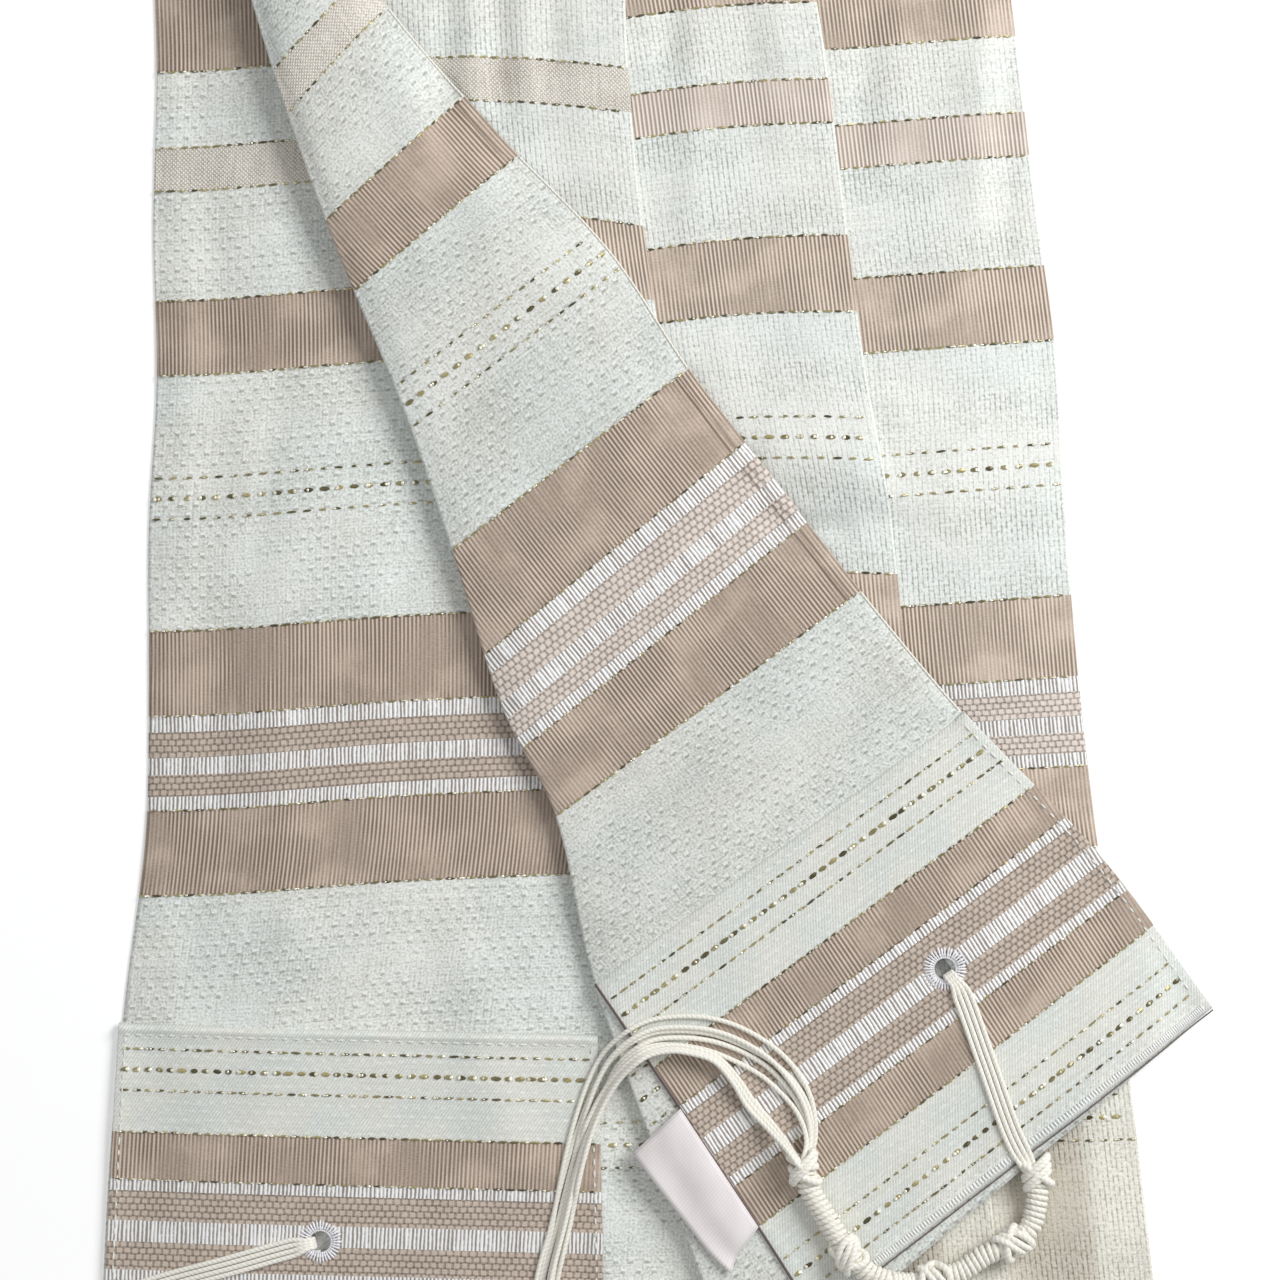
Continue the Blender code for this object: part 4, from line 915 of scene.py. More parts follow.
def smooth_ground():
    """The patches' plain white stretches, closer and smoother than the shawl's own."""
    finish = Finish("white patch cloth", 0.8, sheen=0.15)
    cloud = finish.mottle(0.05, 0.06).between(0.35, 0.65)
    twill = (finish.across + finish.along * 0.6).wave(0.9)
    grain = finish.mottle(2.0, 1.3)
    slubs = finish.mottle(0.08, 1.6)
    dots = finish.spots(3.4, 2.4, 0.8, 0.45)
    tone = twill * 0.25 + grain * 0.6 + slubs * 0.4 + dots * 0.12 - 0.2
    lit = cloud.blend(srgb(246, 250, 246), srgb(250, 250, 243))
    dark = cloud.blend(srgb(198, 202, 196), srgb(206, 207, 197))
    finish.colour(tone.between(0.05, 0.9).blend(dark, lit))
    finish.relief(twill * 0.4 + grain * 0.6 + dots * 0.3, 0.1)
    return finish.material


WHITE_PATCH = smooth_ground()
patch_marks = [b.start for b in PATCH_BANDS] + [PATCH_BANDS[-1].end] + list(SEAM_MARKS)


def sewn_patch(node, spot, columns, eyelet, sink):
    """A corner patch, with the ridges where its turned-in edges are sewn down."""
    rows = rows_between(0.0, PATCH_LENGTH, patch_marks, lambda down: True)
    spots = [[spot(t, down) for t in shares(columns)] for down in rows]
    patch = LaidCloth(rows, spots, tree_of(node), lift=-sink, easing=6)
    down, across = patch.rows[:, None], patch.seen_across
    edges = SEAM_RIDGE * ridge(down, SEAM_PLACE, 1.0) - SEAM_EDGE * ridge(down, 0.0, 0.7)
    edges = edges + HEM_RIDGE * ridge(down, PATCH_LENGTH - SEAM_PLACE, 1.2)
    edges = edges + SIDE_RIDGE * ridge(across - across[:, :1], SIDE_PLACE, 1.2)
    edges = edges + SIDE_RIDGE * ridge(across[:, -1:] - across, SIDE_PLACE, 1.2)
    patch.points[:, :, 2] += edges
    patch.seen = patch.points.copy()
    patch.turn_under(-1, (1.5, 3.0), PATCH_TURN)
    patch.turn_under(1, (1.5, 3.0), PATCH_TURN)
    finishes = [WHITE_PATCH] + STRIPE_FINISHES
    made = patch.make(node + "_cloth", finishes, PATCH_BANDS, eyelet, EYELET_HOLE)
    declare_sheet(made, node)
    laid[node] = patch
    return patch


def edge_at(edge, down):
    return Vector([along_table(edge, "down", column, down) for column in ("x", "up")])


def between_edges(left, right, share):
    spot = left.lerp(right, share)
    return spot.x, spot.y, (spot - left).length


def back_patch_spot(share, down):
    return between_edges(edge_at(BACK_PATCH_LEFT, down), edge_at(BACK_PATCH_RIGHT, down), share)


def front_patch_spot(share, down):
    selvage = Vector(strip_spot(1.0, FRONT_PATCH_REACH * (1.0 - down / PATCH_LENGTH))[:2])
    return between_edges(edge_at(FRONT_PATCH_LEFT, down), selvage, share)


back_patch = sewn_patch(
    "corner_patch_back", back_patch_spot, 66, BACK_EYELET, 0.5
)
front_patch = sewn_patch(
    "corner_patch_front", front_patch_spot, 62, FRONT_EYELET, 0.6
)


# The gold threads are flat metallic lurex, woven in singly along the edges of the stripes and in
# threes between them. Only short floats of them show, each at its own slant, with a painted glint:
# a random tone from dark olive to light gold, and some small flecks painted near-white as highlights.
THREAD_LENGTH = 1.0
FLOAT_HEIGHT, FLOAT_SPREAD = 0.2, 1.4
gold = Finish("gold lurex", 0.36, metallic=0.5)
# Painted glint: each float's random tone sets its colour from dark olive to light gold, and the highest tones
# are painted near-white highlights.
gold_glint_tone = gold.across.node("ShaderNodeAttribute", {"attribute_name": "thread_tone"}, output=2)
gold_body = gold_glint_tone.between(0.0, 0.6).blend(srgb(90, 84, 58), srgb(190, 178, 130))
gold.colour(gold_glint_tone.between(0.6, 0.9).blend(gold_body, srgb(255, 252, 232)))
UPWARDS = Vector((0.0, 0.0, 1.0))


def thread_mesh():
    """An empty mesh for short threads, and the layer that keeps each one's brightness."""
    mesh = bmesh.new()
    return mesh, mesh.verts.layers.float.new("thread_tone")


def oval_thread(mesh, layer, centre, direction, normal, sizes, tone, radius=1.0):
    """One short float that lies along a direction: a small many-sided oval, by its half sizes."""
    side = normal.cross(direction).normalized()
    rise = direction.cross(side).normalized()
    turn = Matrix((direction, side, rise)).transposed().to_4x4()
    size = Matrix.Diagonal((*(half * MM for half in sizes), 1.0))
    placed = Matrix.Translation(centre) @ turn @ size
    made = bmesh.ops.create_icosphere(mesh, subdivisions=1, radius=radius, matrix=placed)
    for point in made["verts"]:
        point[layer] = tone


def lengths_along(route):
    return np.concatenate([[0.0], np.cumsum([(b - a).length for a, b in zip(route, route[1:])])])


def spot_on(route, lengths, walked):
    """The point at a distance along a route, and the direction there."""
    i = max(1, min(len(route) - 1, int(np.searchsorted(lengths, walked))))
    t = (walked - lengths[i - 1]) / max(1e-6, lengths[i] - lengths[i - 1])
    return route[i - 1].lerp(route[i], t), (route[i] - route[i - 1]).normalized()


def slanted(ahead, aside, rise):
    """A direction with a small random slant."""
    slant = (random.uniform(-aside, aside), random.uniform(-aside, aside), random.uniform(-rise, rise))
    return (ahead + Vector(slant)).normalized()


def gold_floats(mesh, layer, route, line):
    """Flat lumps of lurex along a gold line, with a painted glint, and some with a painted highlight fleck.
    """
    lengths = lengths_along(route)
    walked = line.pitch * 0.4
    while walked < lengths[-1] - 0.6:
        point, ahead = spot_on(route, lengths, walked)
        direction = slanted(ahead, 0.1, 0.12)
        leaning = Vector((random.uniform(-0.35, 0.35), random.uniform(-0.35, 0.35), 1.0)).normalized()
        length = THREAD_LENGTH * random.uniform(0.75, 1.15)
        wide = line.half_thickness
        # Each float's tone is its painted glint; the flecks get high tones, painted near-white highlights.
        flecks = [(0.0, length, wide, random.uniform(0.0, 0.62))]
        if random.random() < 0.6:
            flecks.append((random.choice((-0.6, 0.6)) * length, 0.42, wide * 0.85, 0.95))
        if random.random() < 0.35:
            flecks.append((random.uniform(-0.4, 0.4), 0.28, wide * 0.7, random.uniform(0.7, 1.0)))
        for rank, (shift, half_length, half_width, tone) in enumerate(flecks):
            middle = place_mm(*(point + ahead * shift)) + UPWARDS * ((0.16 + 0.1 * rank) * MM)
            sizes = (half_length, half_width, FLOAT_HEIGHT)
            oval_thread(mesh, layer, middle, direction, leaning, sizes, tone, FLOAT_SPREAD)
        walked += line.pitch * random.uniform(0.92, 1.08)


def finish_threads(name, mesh, material):
    made = made_piece(name, mesh, material)
    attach(made, "root")
    return made


def across_at(cloth, along, first, last, count=90):
    return [cloth.at(first + (last - first) * k / count, along) for k in range(count + 1)]


Showing = namedtuple("Showing", "cloth lines first last")
for showing in (
    Showing("back_left_panel", CLOTH_GOLD, 0.005, 0.995),
    Showing("back_pleat_first", CLOTH_GOLD, 0.0, 1.0),
    Showing("back_pleat_second", CLOTH_GOLD, 0.0, 1.0),
    Showing("back_pleat_third", CLOTH_GOLD, 0.0, 1.0),
    Showing("under_layer_right", CLOTH_GOLD, 0.3, 1.0),
    Showing("front_end", CLOTH_GOLD, 0.0, 0.985),
    Showing("corner_patch_back", PATCH_GOLD, 0.01, 0.99),
    Showing("corner_patch_front", PATCH_GOLD, 0.01, 0.99),
):
    mesh, tone_layer = thread_mesh()
    for line in showing.lines:
        route = across_at(laid[showing.cloth], line.along, showing.first, showing.last, 60)
        gold_floats(mesh, tone_layer, route, line)
    finish_threads(showing.cloth + "_gold_threads", mesh, gold.material)


# The patches are sewn down with white cotton: running stitches along their turned-in edges, a
# close satin stitch along the front patch's hem, and a mauve thread down its left edge.
STITCH_HALF_WIDTH, STITCH_HALF_HEIGHT = 0.3, 0.26
SATIN_PITCH = 0.82


def thread_finish(name, colour, roughness):
    """Sewing thread: one colour with a slight spread of brightness from stitch to stitch."""
    finish = Finish(name, roughness, sheen=0.1)
    tone = finish.across.node("ShaderNodeAttribute", {"attribute_name": "thread_tone"}, output=2)
    darker = tuple(c * 0.72 for c in colour[:3]) + (1.0,)
    finish.colour(tone.blend(darker, colour))
    return finish.material


SEWING_COTTON = thread_finish("white sewing cotton", srgb(240, 240, 234), 0.6)
SATIN_THREAD = thread_finish("white satin stitch", srgb(250, 250, 250), 0.3)
MAUVE_THREAD = thread_finish("mauve edge thread", srgb(126, 108, 108), 0.7)


def down_the_side(cloth, share, start, end, count=90):
    return [cloth.at(share, start + (end - start) * k / count) for k in range(count + 1)]


def running_stitches(mesh, layer, route, pitch, half_length):
    """Stitches of cotton along a route, a little uneven."""
    lengths = lengths_along(route)
    walked = pitch * 0.4
    while walked < lengths[-1] - pitch * 0.3:
        point, ahead = spot_on(route, lengths, walked)
        direction = slanted(ahead, 0.08, 0.1)
        long = half_length * random.uniform(0.75, 1.2)
        high = STITCH_HALF_HEIGHT * random.uniform(0.8, 1.2)
        there = place_mm(point.x, point.y, point.z + 0.08)
        sizes, tone = (long, STITCH_HALF_WIDTH, high), random.uniform(0.6, 1.0)
        oval_thread(mesh, layer, there, direction, UPWARDS, sizes, tone)
        walked += pitch * random.uniform(0.9, 1.1)


mesh, tone_layer = thread_mesh()
for route, pitch, half_length in (
    (across_at(back_patch, 3.0, 0.01, 0.99), 3.0, 0.95),
    (down_the_side(back_patch, 0.018, 3.0, 107.0), 3.4, 1.1),
    (down_the_side(back_patch, 0.985, 3.0, 107.0), 3.2, 1.0),
    (across_at(back_patch, 107.4, 0.02, 0.98), 3.0, 1.0),
    (across_at(front_patch, 3.2, 0.02, 0.98), 3.0, 0.9),
    (down_the_side(front_patch, 0.978, 3.0, 104.0), 3.2, 1.1),
    (across_at(front_patch, 106.2, 0.02, 0.98), 2.6, 1.0),
):
    running_stitches(mesh, tone_layer, route, pitch, half_length)
finish_threads("patch_stitches", mesh, SEWING_COTTON)

mesh, tone_layer = thread_mesh()
hem_route = across_at(front_patch, 108.3, 0.03, 0.985, 180)
bars = int(sum((b - a).length for a, b in zip(hem_route, hem_route[1:])) / SATIN_PITCH)
for k in range(bars):
    walked = k / bars * (len(hem_route) - 1)
    place, after = hem_route[int(walked)], hem_route[int(walked) + 1]
    spot = place.lerp(after, walked % 1.0)
    direction = UPWARDS.cross((after - place).normalized()).normalized()
    there = place_mm(spot.x, spot.y, spot.z + 0.12)
    tone = random.uniform(0.7, 1.0)
    oval_thread(mesh, tone_layer, there, direction, UPWARDS, (1.05, 0.3, 0.36), tone)
finish_threads("front_patch_satin_stitch", mesh, SATIN_THREAD)


def tube_along(joined, points, radius, sides, closed=False):
    """Adds a round cord through points in millimetres to a mesh, with its woven places."""
    last = len(points) - 1
    angles = [2 * math.pi * j / sides for j in range(sides + 1)]
    spots, places = [], []
    walked, side = 0.0, None
    for i, point in enumerate(points):
        ahead = (points[min(i + 1, last)] - points[max(i - 1, 0)]).normalized()
        if closed and i in (0, last):
            ahead = (points[1] - points[last - 1]).normalized()
        if side is None:
            side = ahead.cross(UPWARDS)
            side = side.normalized() if side.length > 0.05 else Vector((1.0, 0.0, 0.0))
        side = (side - ahead * side.dot(ahead)).normalized()
        rise = side.cross(ahead).normalized()
        walked += (point - points[i - 1]).length if i else 0.0
        ring = [point + (side * math.cos(a) * radius + rise * math.sin(a) * radius) for a in angles]
        spots.append([place_mm(*spot) for spot in ring])
        places.append([(j / sides, walked) for j in range(sides + 1)])
    mesh = woven_mesh(spots, places)
    bmesh.ops.remove_doubles(mesh, verts=mesh.verts[:], dist=1e-7)
    if not closed:
        bmesh.ops.holes_fill(mesh, edges=[e for e in mesh.edges if e.is_boundary], sides=0)
    bmesh.ops.recalc_face_normals(mesh, faces=mesh.faces[:])
    for face in mesh.faces:
        face.smooth = True
    piece = bpy.data.meshes.new("piece")
    mesh.to_mesh(piece)
    mesh.free()
    joined.from_mesh(piece)
    bpy.data.meshes.remove(piece)


mesh = bmesh.new()
left_edge = down_the_side(front_patch, 0.0, 1.0, 109.0, 110)
tube_along(mesh, [p + Vector((0.0, 0.0, -0.25)) for p in left_edge], 0.45, 6)
hem_edge = across_at(front_patch, 110.0, 0.0, 1.0, 120)
tube_along(mesh, [p + Vector((0.35, -0.42, -0.15)) for p in hem_edge], 0.2, 6)
finish_threads("front_patch_edge_thread", mesh, MAUVE_THREAD)


# Tassel cord is plied cotton, spun firm and slightly cream, so fine slanting lines run round it.
# The strip's selvage is drawn as one firm cord of the same cotton, woven in.
def plied_cotton(name, light, dark):
    finish = Finish(name, 0.75, sheen=0.15)
    ply = (finish.across * 2.0 + finish.along / 1.3).wave(1.0)
    grain = finish.mottle(6.0, 1.3)
    tone = ply * 0.4 + grain * 0.6
    finish.colour(tone.between(0.05, 0.85).blend(dark, light))
    finish.relief(ply, 0.07)
    return finish.material


CORD_COTTON = plied_cotton("plied tassel cotton", srgb(255, 253, 245), srgb(234, 230, 217))
mesh = bmesh.new()
for first, last in ((103.0, 143.4), (213.8, 280.6), (300.9, 329.0)):
    route = []
    edge, inside = (down_the_side(strip, share, first, last) for share in (1.0, 0.97))
    for p, q in zip(edge, inside):
        route.append(p + (q - p).normalized() * 0.3 + Vector((0.0, 0.0, 0.1)))
    tube_along(mesh, route, 0.3, 6)
finish_threads("front_strip_selvage", mesh, CORD_COTTON)


# Each eyelet is worked in buttonhole stitch with thick white cotton: a padded ring round the hole,
# covered by stitches that lie side by side from the hole outwards.
EYELET_STITCHES = 36
EYELET_INNER, EYELET_OUTER = 3.1, 5.7
EYELET_INNER_END, EYELET_OUTER_START = 4.4, 3.9
EYELET_CREST = 4.6


def round_eyelet(eyelet, outward, distance):
    return eyelet[0] + outward.x * distance, eyelet[1] + outward.y * distance


for name, cloth, eyelet in (
    ("eyelet_back", back_patch, BACK_EYELET),
    ("eyelet_front", front_patch, FRONT_EYELET),
):
    mesh, tone_layer = thread_mesh()
    for k in range(EYELET_STITCHES):
        angle = 2 * math.pi * k / EYELET_STITCHES + random.uniform(-0.02, 0.02)
        outward = Vector((math.cos(angle), math.sin(angle), 0.0))
        outer = EYELET_OUTER + random.uniform(-0.35, 0.45)
        for low, high, rise, tilt in (
            (EYELET_INNER, EYELET_INNER_END, 0.28, 0.35),
            (EYELET_OUTER_START, outer, 0.22, -0.22),
        ):
            there = round_eyelet(eyelet, outward, (low + high) / 2)
            middle = place_mm(*there, top_of(cloth.tree, *there) + rise)
            direction = (outward + UPWARDS * tilt).normalized()
            sizes, tone = ((high - low) / 2 + 0.15, 0.34, 0.4), random.uniform(0.5, 1.0)
            oval_thread(mesh, tone_layer, middle, direction, UPWARDS, sizes, tone)
        crest = top_of(cloth.tree, *round_eyelet(eyelet, outward, EYELET_CREST))
        rim = place_mm(*round_eyelet(eyelet, outward, EYELET_INNER - 0.1), crest - 0.1)
        round_the_hole, tone = Vector((-outward.y, outward.x, 0.0)), random.uniform(0.2, 0.8)
        oval_thread(mesh, tone_layer, rim, round_the_hole, UPWARDS, (0.42, 0.34, 0.5), tone)
    finish_threads(name, mesh, thread_finish(name + " cotton", srgb(252, 251, 255), 0.55))


# The label is a small tag of cool white satin ribbon, caught in the front patch's left seam. It is
# left bare, and one of its free corners has turned up slightly.
LABEL_SEAM = (Vector((13.2, 85.0)), Vector((33.7, 53.9)))
LABEL_FREE = (Vector((0.5, 72.9)), Vector((24.7, 41.8)))
LABEL_WIDTH = 17.0
LABEL_COLUMNS = 12
CORNER_START, CORNER_LENGTH, CORNER_WIDTH = 31.0, 6.5, 6.0
CORNER_RISE, CORNER_BACK = 1.6, 1.8
LABEL_ROWS = [k * 1.5 for k in range(26)]


def ribbon_satin():
    finish = Finish("bare satin ribbon", 0.6, sheen=0.1)
    rib = finish.along.wave(0.8)
    tone = rib * 0.25 + finish.mottle(0.12, 0.09) * 0.75
    finish.colour(tone.between(0.2, 0.8).blend(srgb(232, 224, 224), srgb(250, 244, 244)))
    finish.relief(rib, 0.04)
    return finish.material


label_spots = []
for along in LABEL_ROWS:
    t = along / LABEL_ROWS[-1]
    seam, free = LABEL_SEAM[0].lerp(LABEL_SEAM[1], t), LABEL_FREE[0].lerp(LABEL_FREE[1], t)
    in_shares = [c / LABEL_COLUMNS for c in range(LABEL_COLUMNS + 1)]
    label_spots.append([(*free.lerp(seam, share), share * LABEL_WIDTH) for share in in_shares])
label = LaidCloth(LABEL_ROWS, label_spots, tree_of("label"), easing=4)
corner = np.maximum(0.0, (label.rows[:, None] - CORNER_START) / CORNER_LENGTH)
turned = corner * np.maximum(0.0, (CORNER_WIDTH - label.across) / CORNER_WIDTH)
label.points[:, :, 2] += CORNER_RISE * turned + 0.12 * ridge(label.across, 0.8, 0.6) - 0.3
label.points[:, :, 0] += CORNER_BACK * turned
label_cloth = label.make("label_ribbon", [ribbon_satin()], ())
declare_sheet(label_cloth, "label")


# Each corner's tassel is four long cords doubled through the eyelet into eight strands. One cord
# is wound round the others between its double knots, and the strands hang free below the last.
CORD_RADIUS = 0.67
CORD_SPACING = 1.42
STRAND_SPACING = 1.34
WINDING_COIL, WINDING_RADIUS, WINDING_PITCH = 0.72, 2.35, 1.5
CORE_RADIUS = 2.0
STEPS_A_COIL = 12
KNOT_LIFT = 0.85
KNOT_CORD = 1.0
PASS_CORD = 0.85
KNOT_STEPS, PASS_STEPS = 20, 14
KNOT_FLATNESS, COIL_FLATNESS = 0.74, 0.92
PASS_WIDTH, PASS_HEIGHT, PASS_REACH = 3.5, 3.3, 2.9
UNDER_RIM = (3.2, 1.6, 0.2)
LONGEST_CUT = 9
STEP = 1.1

KnotLoop = namedtuple("KnotLoop", "lean shift size")
KNOT_LOOPS = (KnotLoop(0.95, -1.6, 3.3), KnotLoop(-1.05, 0.3, 3.7), KnotLoop(0.8, 2.0, 3.2))

Tassel = namedtuple("Tassel", "name node lies_on eyelet cords wound knots outer inner")
TASSELS = (
    Tassel(
        "front_corner_tassel", "tassel_front_corner", "shawl", FRONT_EYELET,
        ((83.6, 119.4), (86.8, 115.5), (93.4, 97.4), (100.0, 78.9), (105.6, 68.0)),
        ((106.8, 68.0), (107.1, 62.0), (105.3, 53.5), (100.5, 49.5), (93.5, 46.5), (86.1, 41.6), (79.7, 40.5),
         (72.4, 39.0), (63.2, 41.6), (57.4, 47.0), (52.0, 55.5), (47.1, 63.9), (45.5, 69.5)),
        (0, 3, 6, 9, 12),
        ((45.5, 70.5), (47.4, 77.5), (45.2, 86.5), (39.0, 94.8), (31.3, 100.3), (21.8, 104.2), (11.8, 105.3),
         (3.7, 104.0), (-3.7, 98.7), (-8.9, 90.0), (-13.7, 76.6), (-17.1, 63.2), (-19.4, 52.0), (-22.4, 39.5),
         (-25.0, 18.0), (-28.6, -8.0), (-33.0, -34.0)),
        ((44.5, 70.5), (40.8, 75.6), (36.4, 80.8), (31.6, 86.1), (27.6, 92.6), (22.6, 98.4), (16.0, 100.9),
         (9.6, 101.6), (2.6, 99.6), (-4.6, 93.0), (-10.6, 82.6), (-14.8, 70.0), (-18.0, 55.0), (-21.4, 39.5),
         (-24.4, 18.0), (-28.0, -8.0), (-32.0, -33.0)),
    ),
    Tassel(
        "back_corner_tassel", "tassel_back_corner", "shawl", BACK_EYELET,
        ((-83.0, 49.2), (-90.0, 47.6), (-104.0, 43.6), (-126.0, 37.4), (-137.0, 32.6), (-144.0, 25.5)),
        ((-145.0, 24.0), (-146.6, 14.0), (-147.2, 5.0), (-147.0, -3.0), (-146.0, -14.0), (-144.0, -24.0),
         (-141.5, -33.0), (-138.0, -44.0), (-134.0, -54.0), (-129.5, -63.0)),
        (0, 3, 6, 9),
        ((-128.8, -64.5), (-120.0, -80.0), (-108.0, -97.0), (-93.0, -113.0), (-76.0, -127.0), (-58.0, -139.0),
         (-40.0, -151.0), (-24.0, -164.0), (-11.0, -180.0), (-2.0, -198.0), (4.0, -215.0)),
        None,
    ),
    Tassel(
        "back_turned_tassel", "tassel_back_turned_corner", "floor", None,
        ((111.8, 14.4), (112.2, 4.0), (113.2, -5.0), (114.0, -10.5)),
        ((114.0, -12.0), (115.5, -22.0), (117.6, -31.0), (120.0, -39.5), (122.6, -50.0), (124.2, -60.0),
         (124.6, -69.0), (123.8, -80.0), (121.6, -90.0), (118.4, -99.0)),
        (0, 3, 6, 9),
        ((117.8, -100.5), (110.0, -117.0), (101.0, -134.0), (93.0, -152.0), (88.0, -171.0), (87.0, -190.0),
         (90.0, -209.0), (97.0, -227.0), (108.0, -243.0), (121.0, -256.0)),
        None,
    ),
    Tassel(
        "front_turned_tassel", "tassel_front_turned_corner", "back half", None,
        ((45.0, 18.0), (45.4, 10.0), (46.4, 2.0), (47.2, -5.0)),
        ((47.4, -8.0), (47.4, -18.0), (46.4, -28.0), (44.6, -37.0), (42.0, -48.0), (38.8, -58.0),
         (35.0, -67.0), (31.0, -78.0), (28.4, -88.0), (27.0, -97.0)),
        (0, 3, 6, 9),
        ((26.8, -98.5), (26.0, -115.0), (28.0, -133.0), (33.0, -151.0), (40.0, -168.0), (47.0, -186.0),
         (51.0, -205.0), (50.0, -224.0), (44.0, -242.0), (35.0, -258.0)),
        None,
    ),
)

back_half_trees = [
    laid[node].tree for node in (
        "under_layer_right", "back_pleat_third", "back_pleat_second", "back_pleat_first",
        "back_left_panel",
    )
]
shawl_trees = back_half_trees + [strip.tree, back_patch.tree, front_patch.tree, label.tree]


def even_route(points, step):
    """Even steps along a smooth curve through listed points."""
    fine = []
    last = len(points) - 1
    for i in range(last):
        before, start = Vector(points[max(0, i - 1)]), Vector(points[i])
        end, after = Vector(points[i + 1]), Vector(points[min(last, i + 2)])
        for k in range(16):
            t = k / 16
            straight = 2 * start + (end - before) * t
            bend = (2 * before - 5 * start + 4 * end - after) * t**2
            sway = (3 * start - before - 3 * end + after) * t**3
            fine.append(0.5 * (straight + bend + sway))
    fine.append(Vector(points[last]))
    lengths = lengths_along(fine)
    even = np.linspace(0.0, lengths[-1], max(3, round(lengths[-1] / step)) + 1)
    across, up = (np.interp(even, lengths, [p[axis] for p in fine]) for axis in (0, 1))
    return [Vector(p) for p in np.stack([across, up], axis=1)]


def sideways(route, aside):
    moved = []
    for i, point in enumerate(route):
        ahead = route[min(i + 2, len(route) - 1)] - route[max(i - 2, 0)]
        moved.append(point + Vector((-ahead.y, ahead.x)).normalized() * aside[i])
    return moved


def draped(route, trees, radius, start=None, end=None, rounds=14):
    """Heights of a cord that lies on what is below it and bridges the hollows."""
    ground = []
    for point in route:
        below = 0.0
        for dx, dy in ((0.0, 0.0), (0.5, 0.0), (-0.5, 0.0), (0.0, 0.5), (0.0, -0.5)):
            for tree in trees:
                hit = tree.ray_cast(place_mm(point.x + dx, point.y + dy, 60.0), -UPWARDS)[0]
                if hit is not None:
                    below = max(below, hit.z / MM)
        ground.append(below + radius)
    ground = np.array(ground)
    heights = ground.copy()
    if start is not None:
        heights[0] = ground[0] = start
    if end is not None:
        heights[-1] = ground[-1] = end
    for _ in range(rounds):
        wide = np.pad(heights, 1, mode="edge")
        heights = np.maximum(ground, (wide[:-2] + wide[2:]) / 2)
    return [Vector((p.x, p.y, h)) for p, h in zip(route, heights)]


def double_knot(joined, middle, ahead, number):
    """Three fat loops of cord, tilted against each other, and two passes over the top."""
    side = ahead.cross(UPWARDS).normalized()
    rise = side.cross(ahead)
    for loop in KNOT_LOOPS:
        ring = []
        for k in range(KNOT_STEPS + 1):
            angle = 2 * math.pi * k / KNOT_STEPS + number
            flat = loop.size * KNOT_FLATNESS
            out = side * math.cos(angle) * loop.size + rise * math.sin(angle) * flat
            tilt = loop.lean * loop.size * 0.8 * math.cos(angle + 0.7 * number)
            ring.append(middle + ahead * (loop.shift + tilt) + out)
        tube_along(joined, ring, KNOT_CORD, 8, closed=True)
    for aside in (-1.0, 1.0):
        pass_over = []
        for k in range(PASS_STEPS + 1):
            t = k / PASS_STEPS
            angle = math.pi * (0.06 + 0.88 * t)
            out = side * math.cos(angle) * PASS_WIDTH + rise * math.sin(angle) * PASS_HEIGHT
            slope = aside + PASS_REACH * (1.0 - 2.0 * t) + 0.6 * math.sin(number * 2.0)
            pass_over.append(middle + ahead * slope + out)
        tube_along(joined, pass_over, PASS_CORD, 8)


def wound_part(joined, centre_line, knots):
    """Close coils round the cords, with a double knot at each of some points."""
    tube_along(joined, centre_line, CORE_RADIUS, 8)
    lengths = lengths_along(centre_line)
    steps = int(lengths[-1] / WINDING_PITCH) * STEPS_A_COIL
    coil = []
    for k in range(steps + 1):
        walked = lengths[-1] * k / steps
        middle, ahead = spot_on(centre_line, lengths, walked)
        side = ahead.cross(UPWARDS).normalized()
        rise = side.cross(ahead)
        angle = 2 * math.pi * k / STEPS_A_COIL
        size = WINDING_RADIUS + 0.1 * math.sin(walked * 1.9)
        coil.append(middle + side * math.cos(angle) * size + rise * math.sin(angle) * size * COIL_FLATNESS)
    tube_along(joined, coil, WINDING_COIL, 6)
    for number, (middle, ahead) in enumerate(knots):
        double_knot(joined, middle, ahead, number)


def cords_from_eyelet(joined, plan, centre, trees):
    """The four doubled cords, from under the eyelet's rim to the start of the winding."""
    cords = even_route(plan.cords, STEP)
    for k in range(4):
        aside = []
        for i in range(len(cords)):
            opened = 0.35 + 0.65 * smooth_between(i, 0, 6)
            closed = 1.0 - 0.35 * smooth_between(i, len(cords) - 8, len(cords))
            aside.append((k - 1.5) * CORD_SPACING * opened * closed)
        end = centre[0].z + 0.4 * (k % 2)
        route = draped(sideways(cords, aside), trees, CORD_RADIUS, end=end)
        if plan.eyelet:
            rim = route[0].z
            leaving = (Vector(plan.cords[1]) - Vector(plan.eyelet)).normalized() * 1.7
            hole = Vector(plan.eyelet) + leaving + Vector((-leaving.y, leaving.x)) * (k - 1.5) * 0.4
            below = [Vector((hole.x, hole.y, rim - drop)) for drop in UNDER_RIM]
            route = below + [p + Vector((0.0, 0.0, 0.35)) for p in route[2:5]] + route[5:]
        route.append(centre[1] + Vector((0.0, 0.0, 0.2)))
        tube_along(joined, route, CORD_RADIUS, 8)


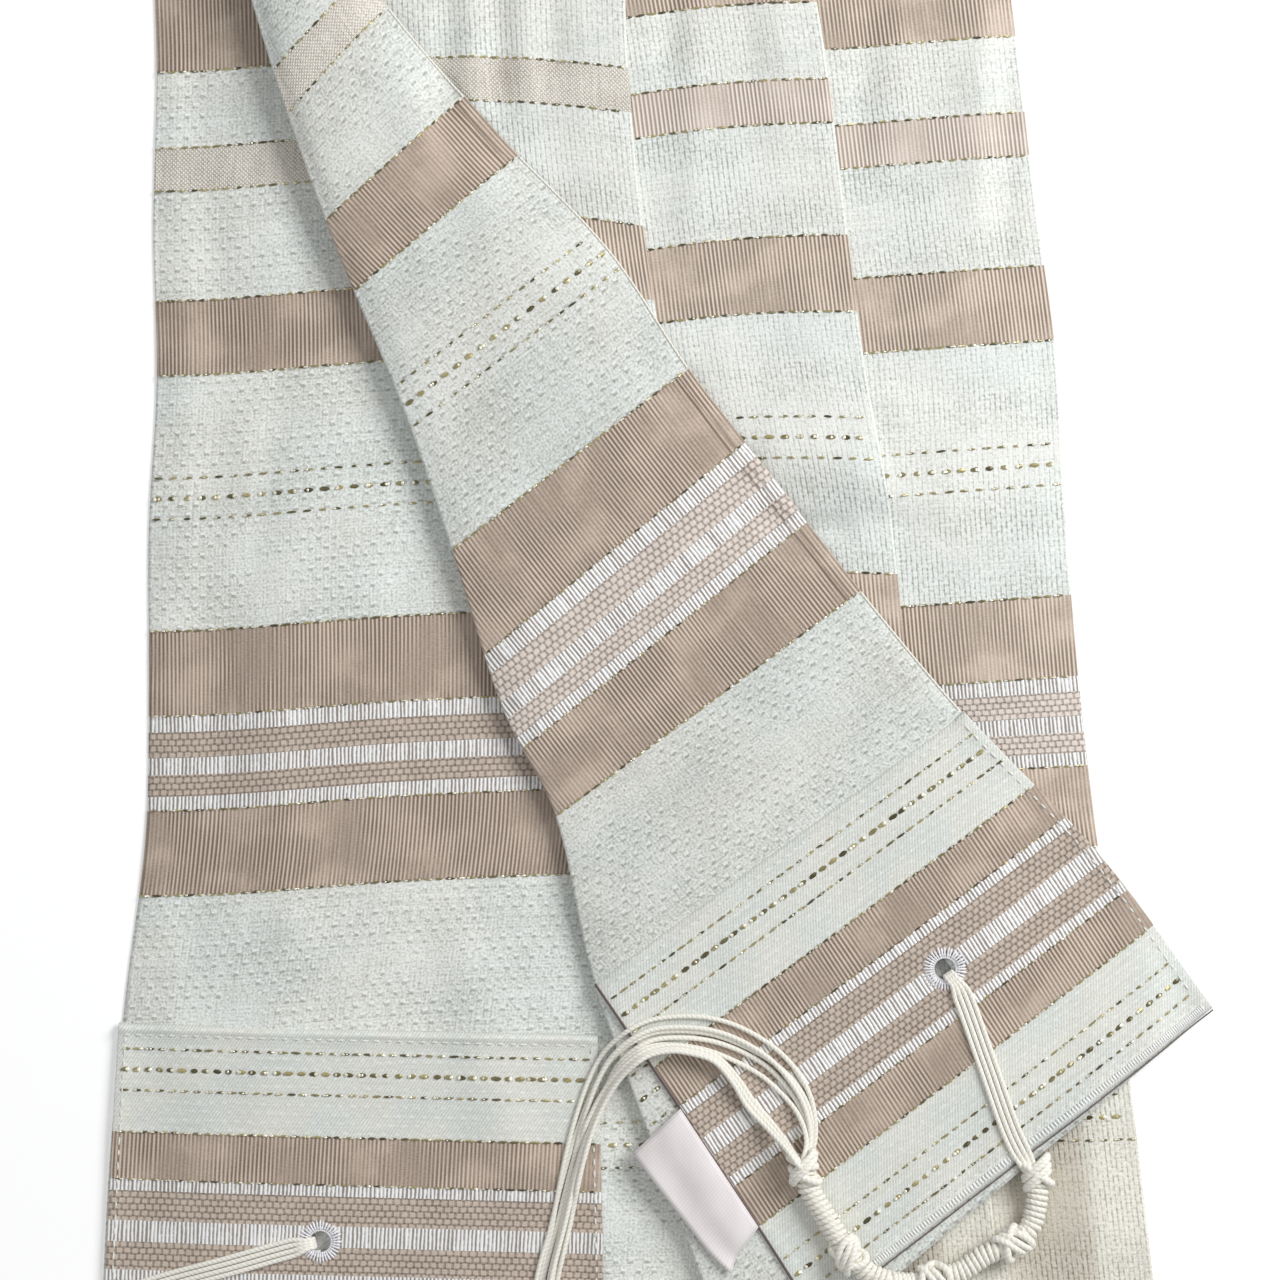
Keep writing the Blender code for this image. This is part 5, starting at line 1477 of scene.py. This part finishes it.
def strand_aside(path, place, drift):
    """How far one strand lies beside its group's path, opening out below the last knot."""
    aside = []
    for i in range(len(path)):
        t = i / len(path)
        spread = 0.3 + 0.9 * smooth_between(t, 0.0, 0.12) - 0.35 * smooth_between(t, 0.2, 0.34)
        spread += 0.35 * smooth_between(t, 0.5, 1.0)
        wander = 1.3 * math.sin(i * 0.03 + drift) * smooth_between(t, 0.04, 0.2)
        aside.append(place * spread + wander)
    return aside


for plan in TASSELS:
    joined = bmesh.new()
    trees = {"floor": [], "back half": back_half_trees, "shawl": shawl_trees}[plan.lies_on]
    wound_flat = even_route(plan.wound, STEP)
    centre = draped(wound_flat, trees, WINDING_RADIUS + WINDING_COIL, rounds=30)
    knots = []
    for index in plan.knots:
        there = Vector(plan.wound[index])
        near = min(range(len(centre)), key=lambda i: (centre[i].to_2d() - there).length)
        before, after = centre[max(0, near - 2)], centre[min(len(centre) - 1, near + 2)]
        knots.append((centre[near] + Vector((0.0, 0.0, KNOT_LIFT)), (after - before).normalized()))
    wound_part(joined, centre, knots)
    cords_from_eyelet(joined, plan, centre, trees)
    last_knot = centre[-1]
    outer = even_route(plan.outer, STEP)
    groups = ((outer, 8, 1.0),)
    if plan.inner:
        groups = ((outer, 5, 0.95), (even_route(plan.inner, STEP), 3, 0.9))
    number = 0
    for path, count, closeness in groups:
        for k in range(count):
            number += 1
            drift = random.uniform(0.0, 6.0)
            place = (k - (count - 1) / 2) * STRAND_SPACING * closeness
            flat = sideways(path, strand_aside(path, place, drift))
            flat = flat[: len(flat) - random.randint(0, LONGEST_CUT)]
            start = last_knot.z + 0.5 * math.cos(number * 2.2)
            route = draped(flat, trees, CORD_RADIUS, start=start)
            route.insert(0, last_knot + Vector((0.0, 0.0, 0.3)))
            strand = bmesh.new()
            tube_along(strand, route, CORD_RADIUS, 8)
            if number % 2 == 0 or number > 4:
                trees = trees + [BVHTree.FromBMesh(strand)]
            strand.free()
            tube_along(joined, route, CORD_RADIUS, 8)
    tassel = finish_threads(plan.name, joined, CORD_COTTON)
    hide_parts(plan.node)
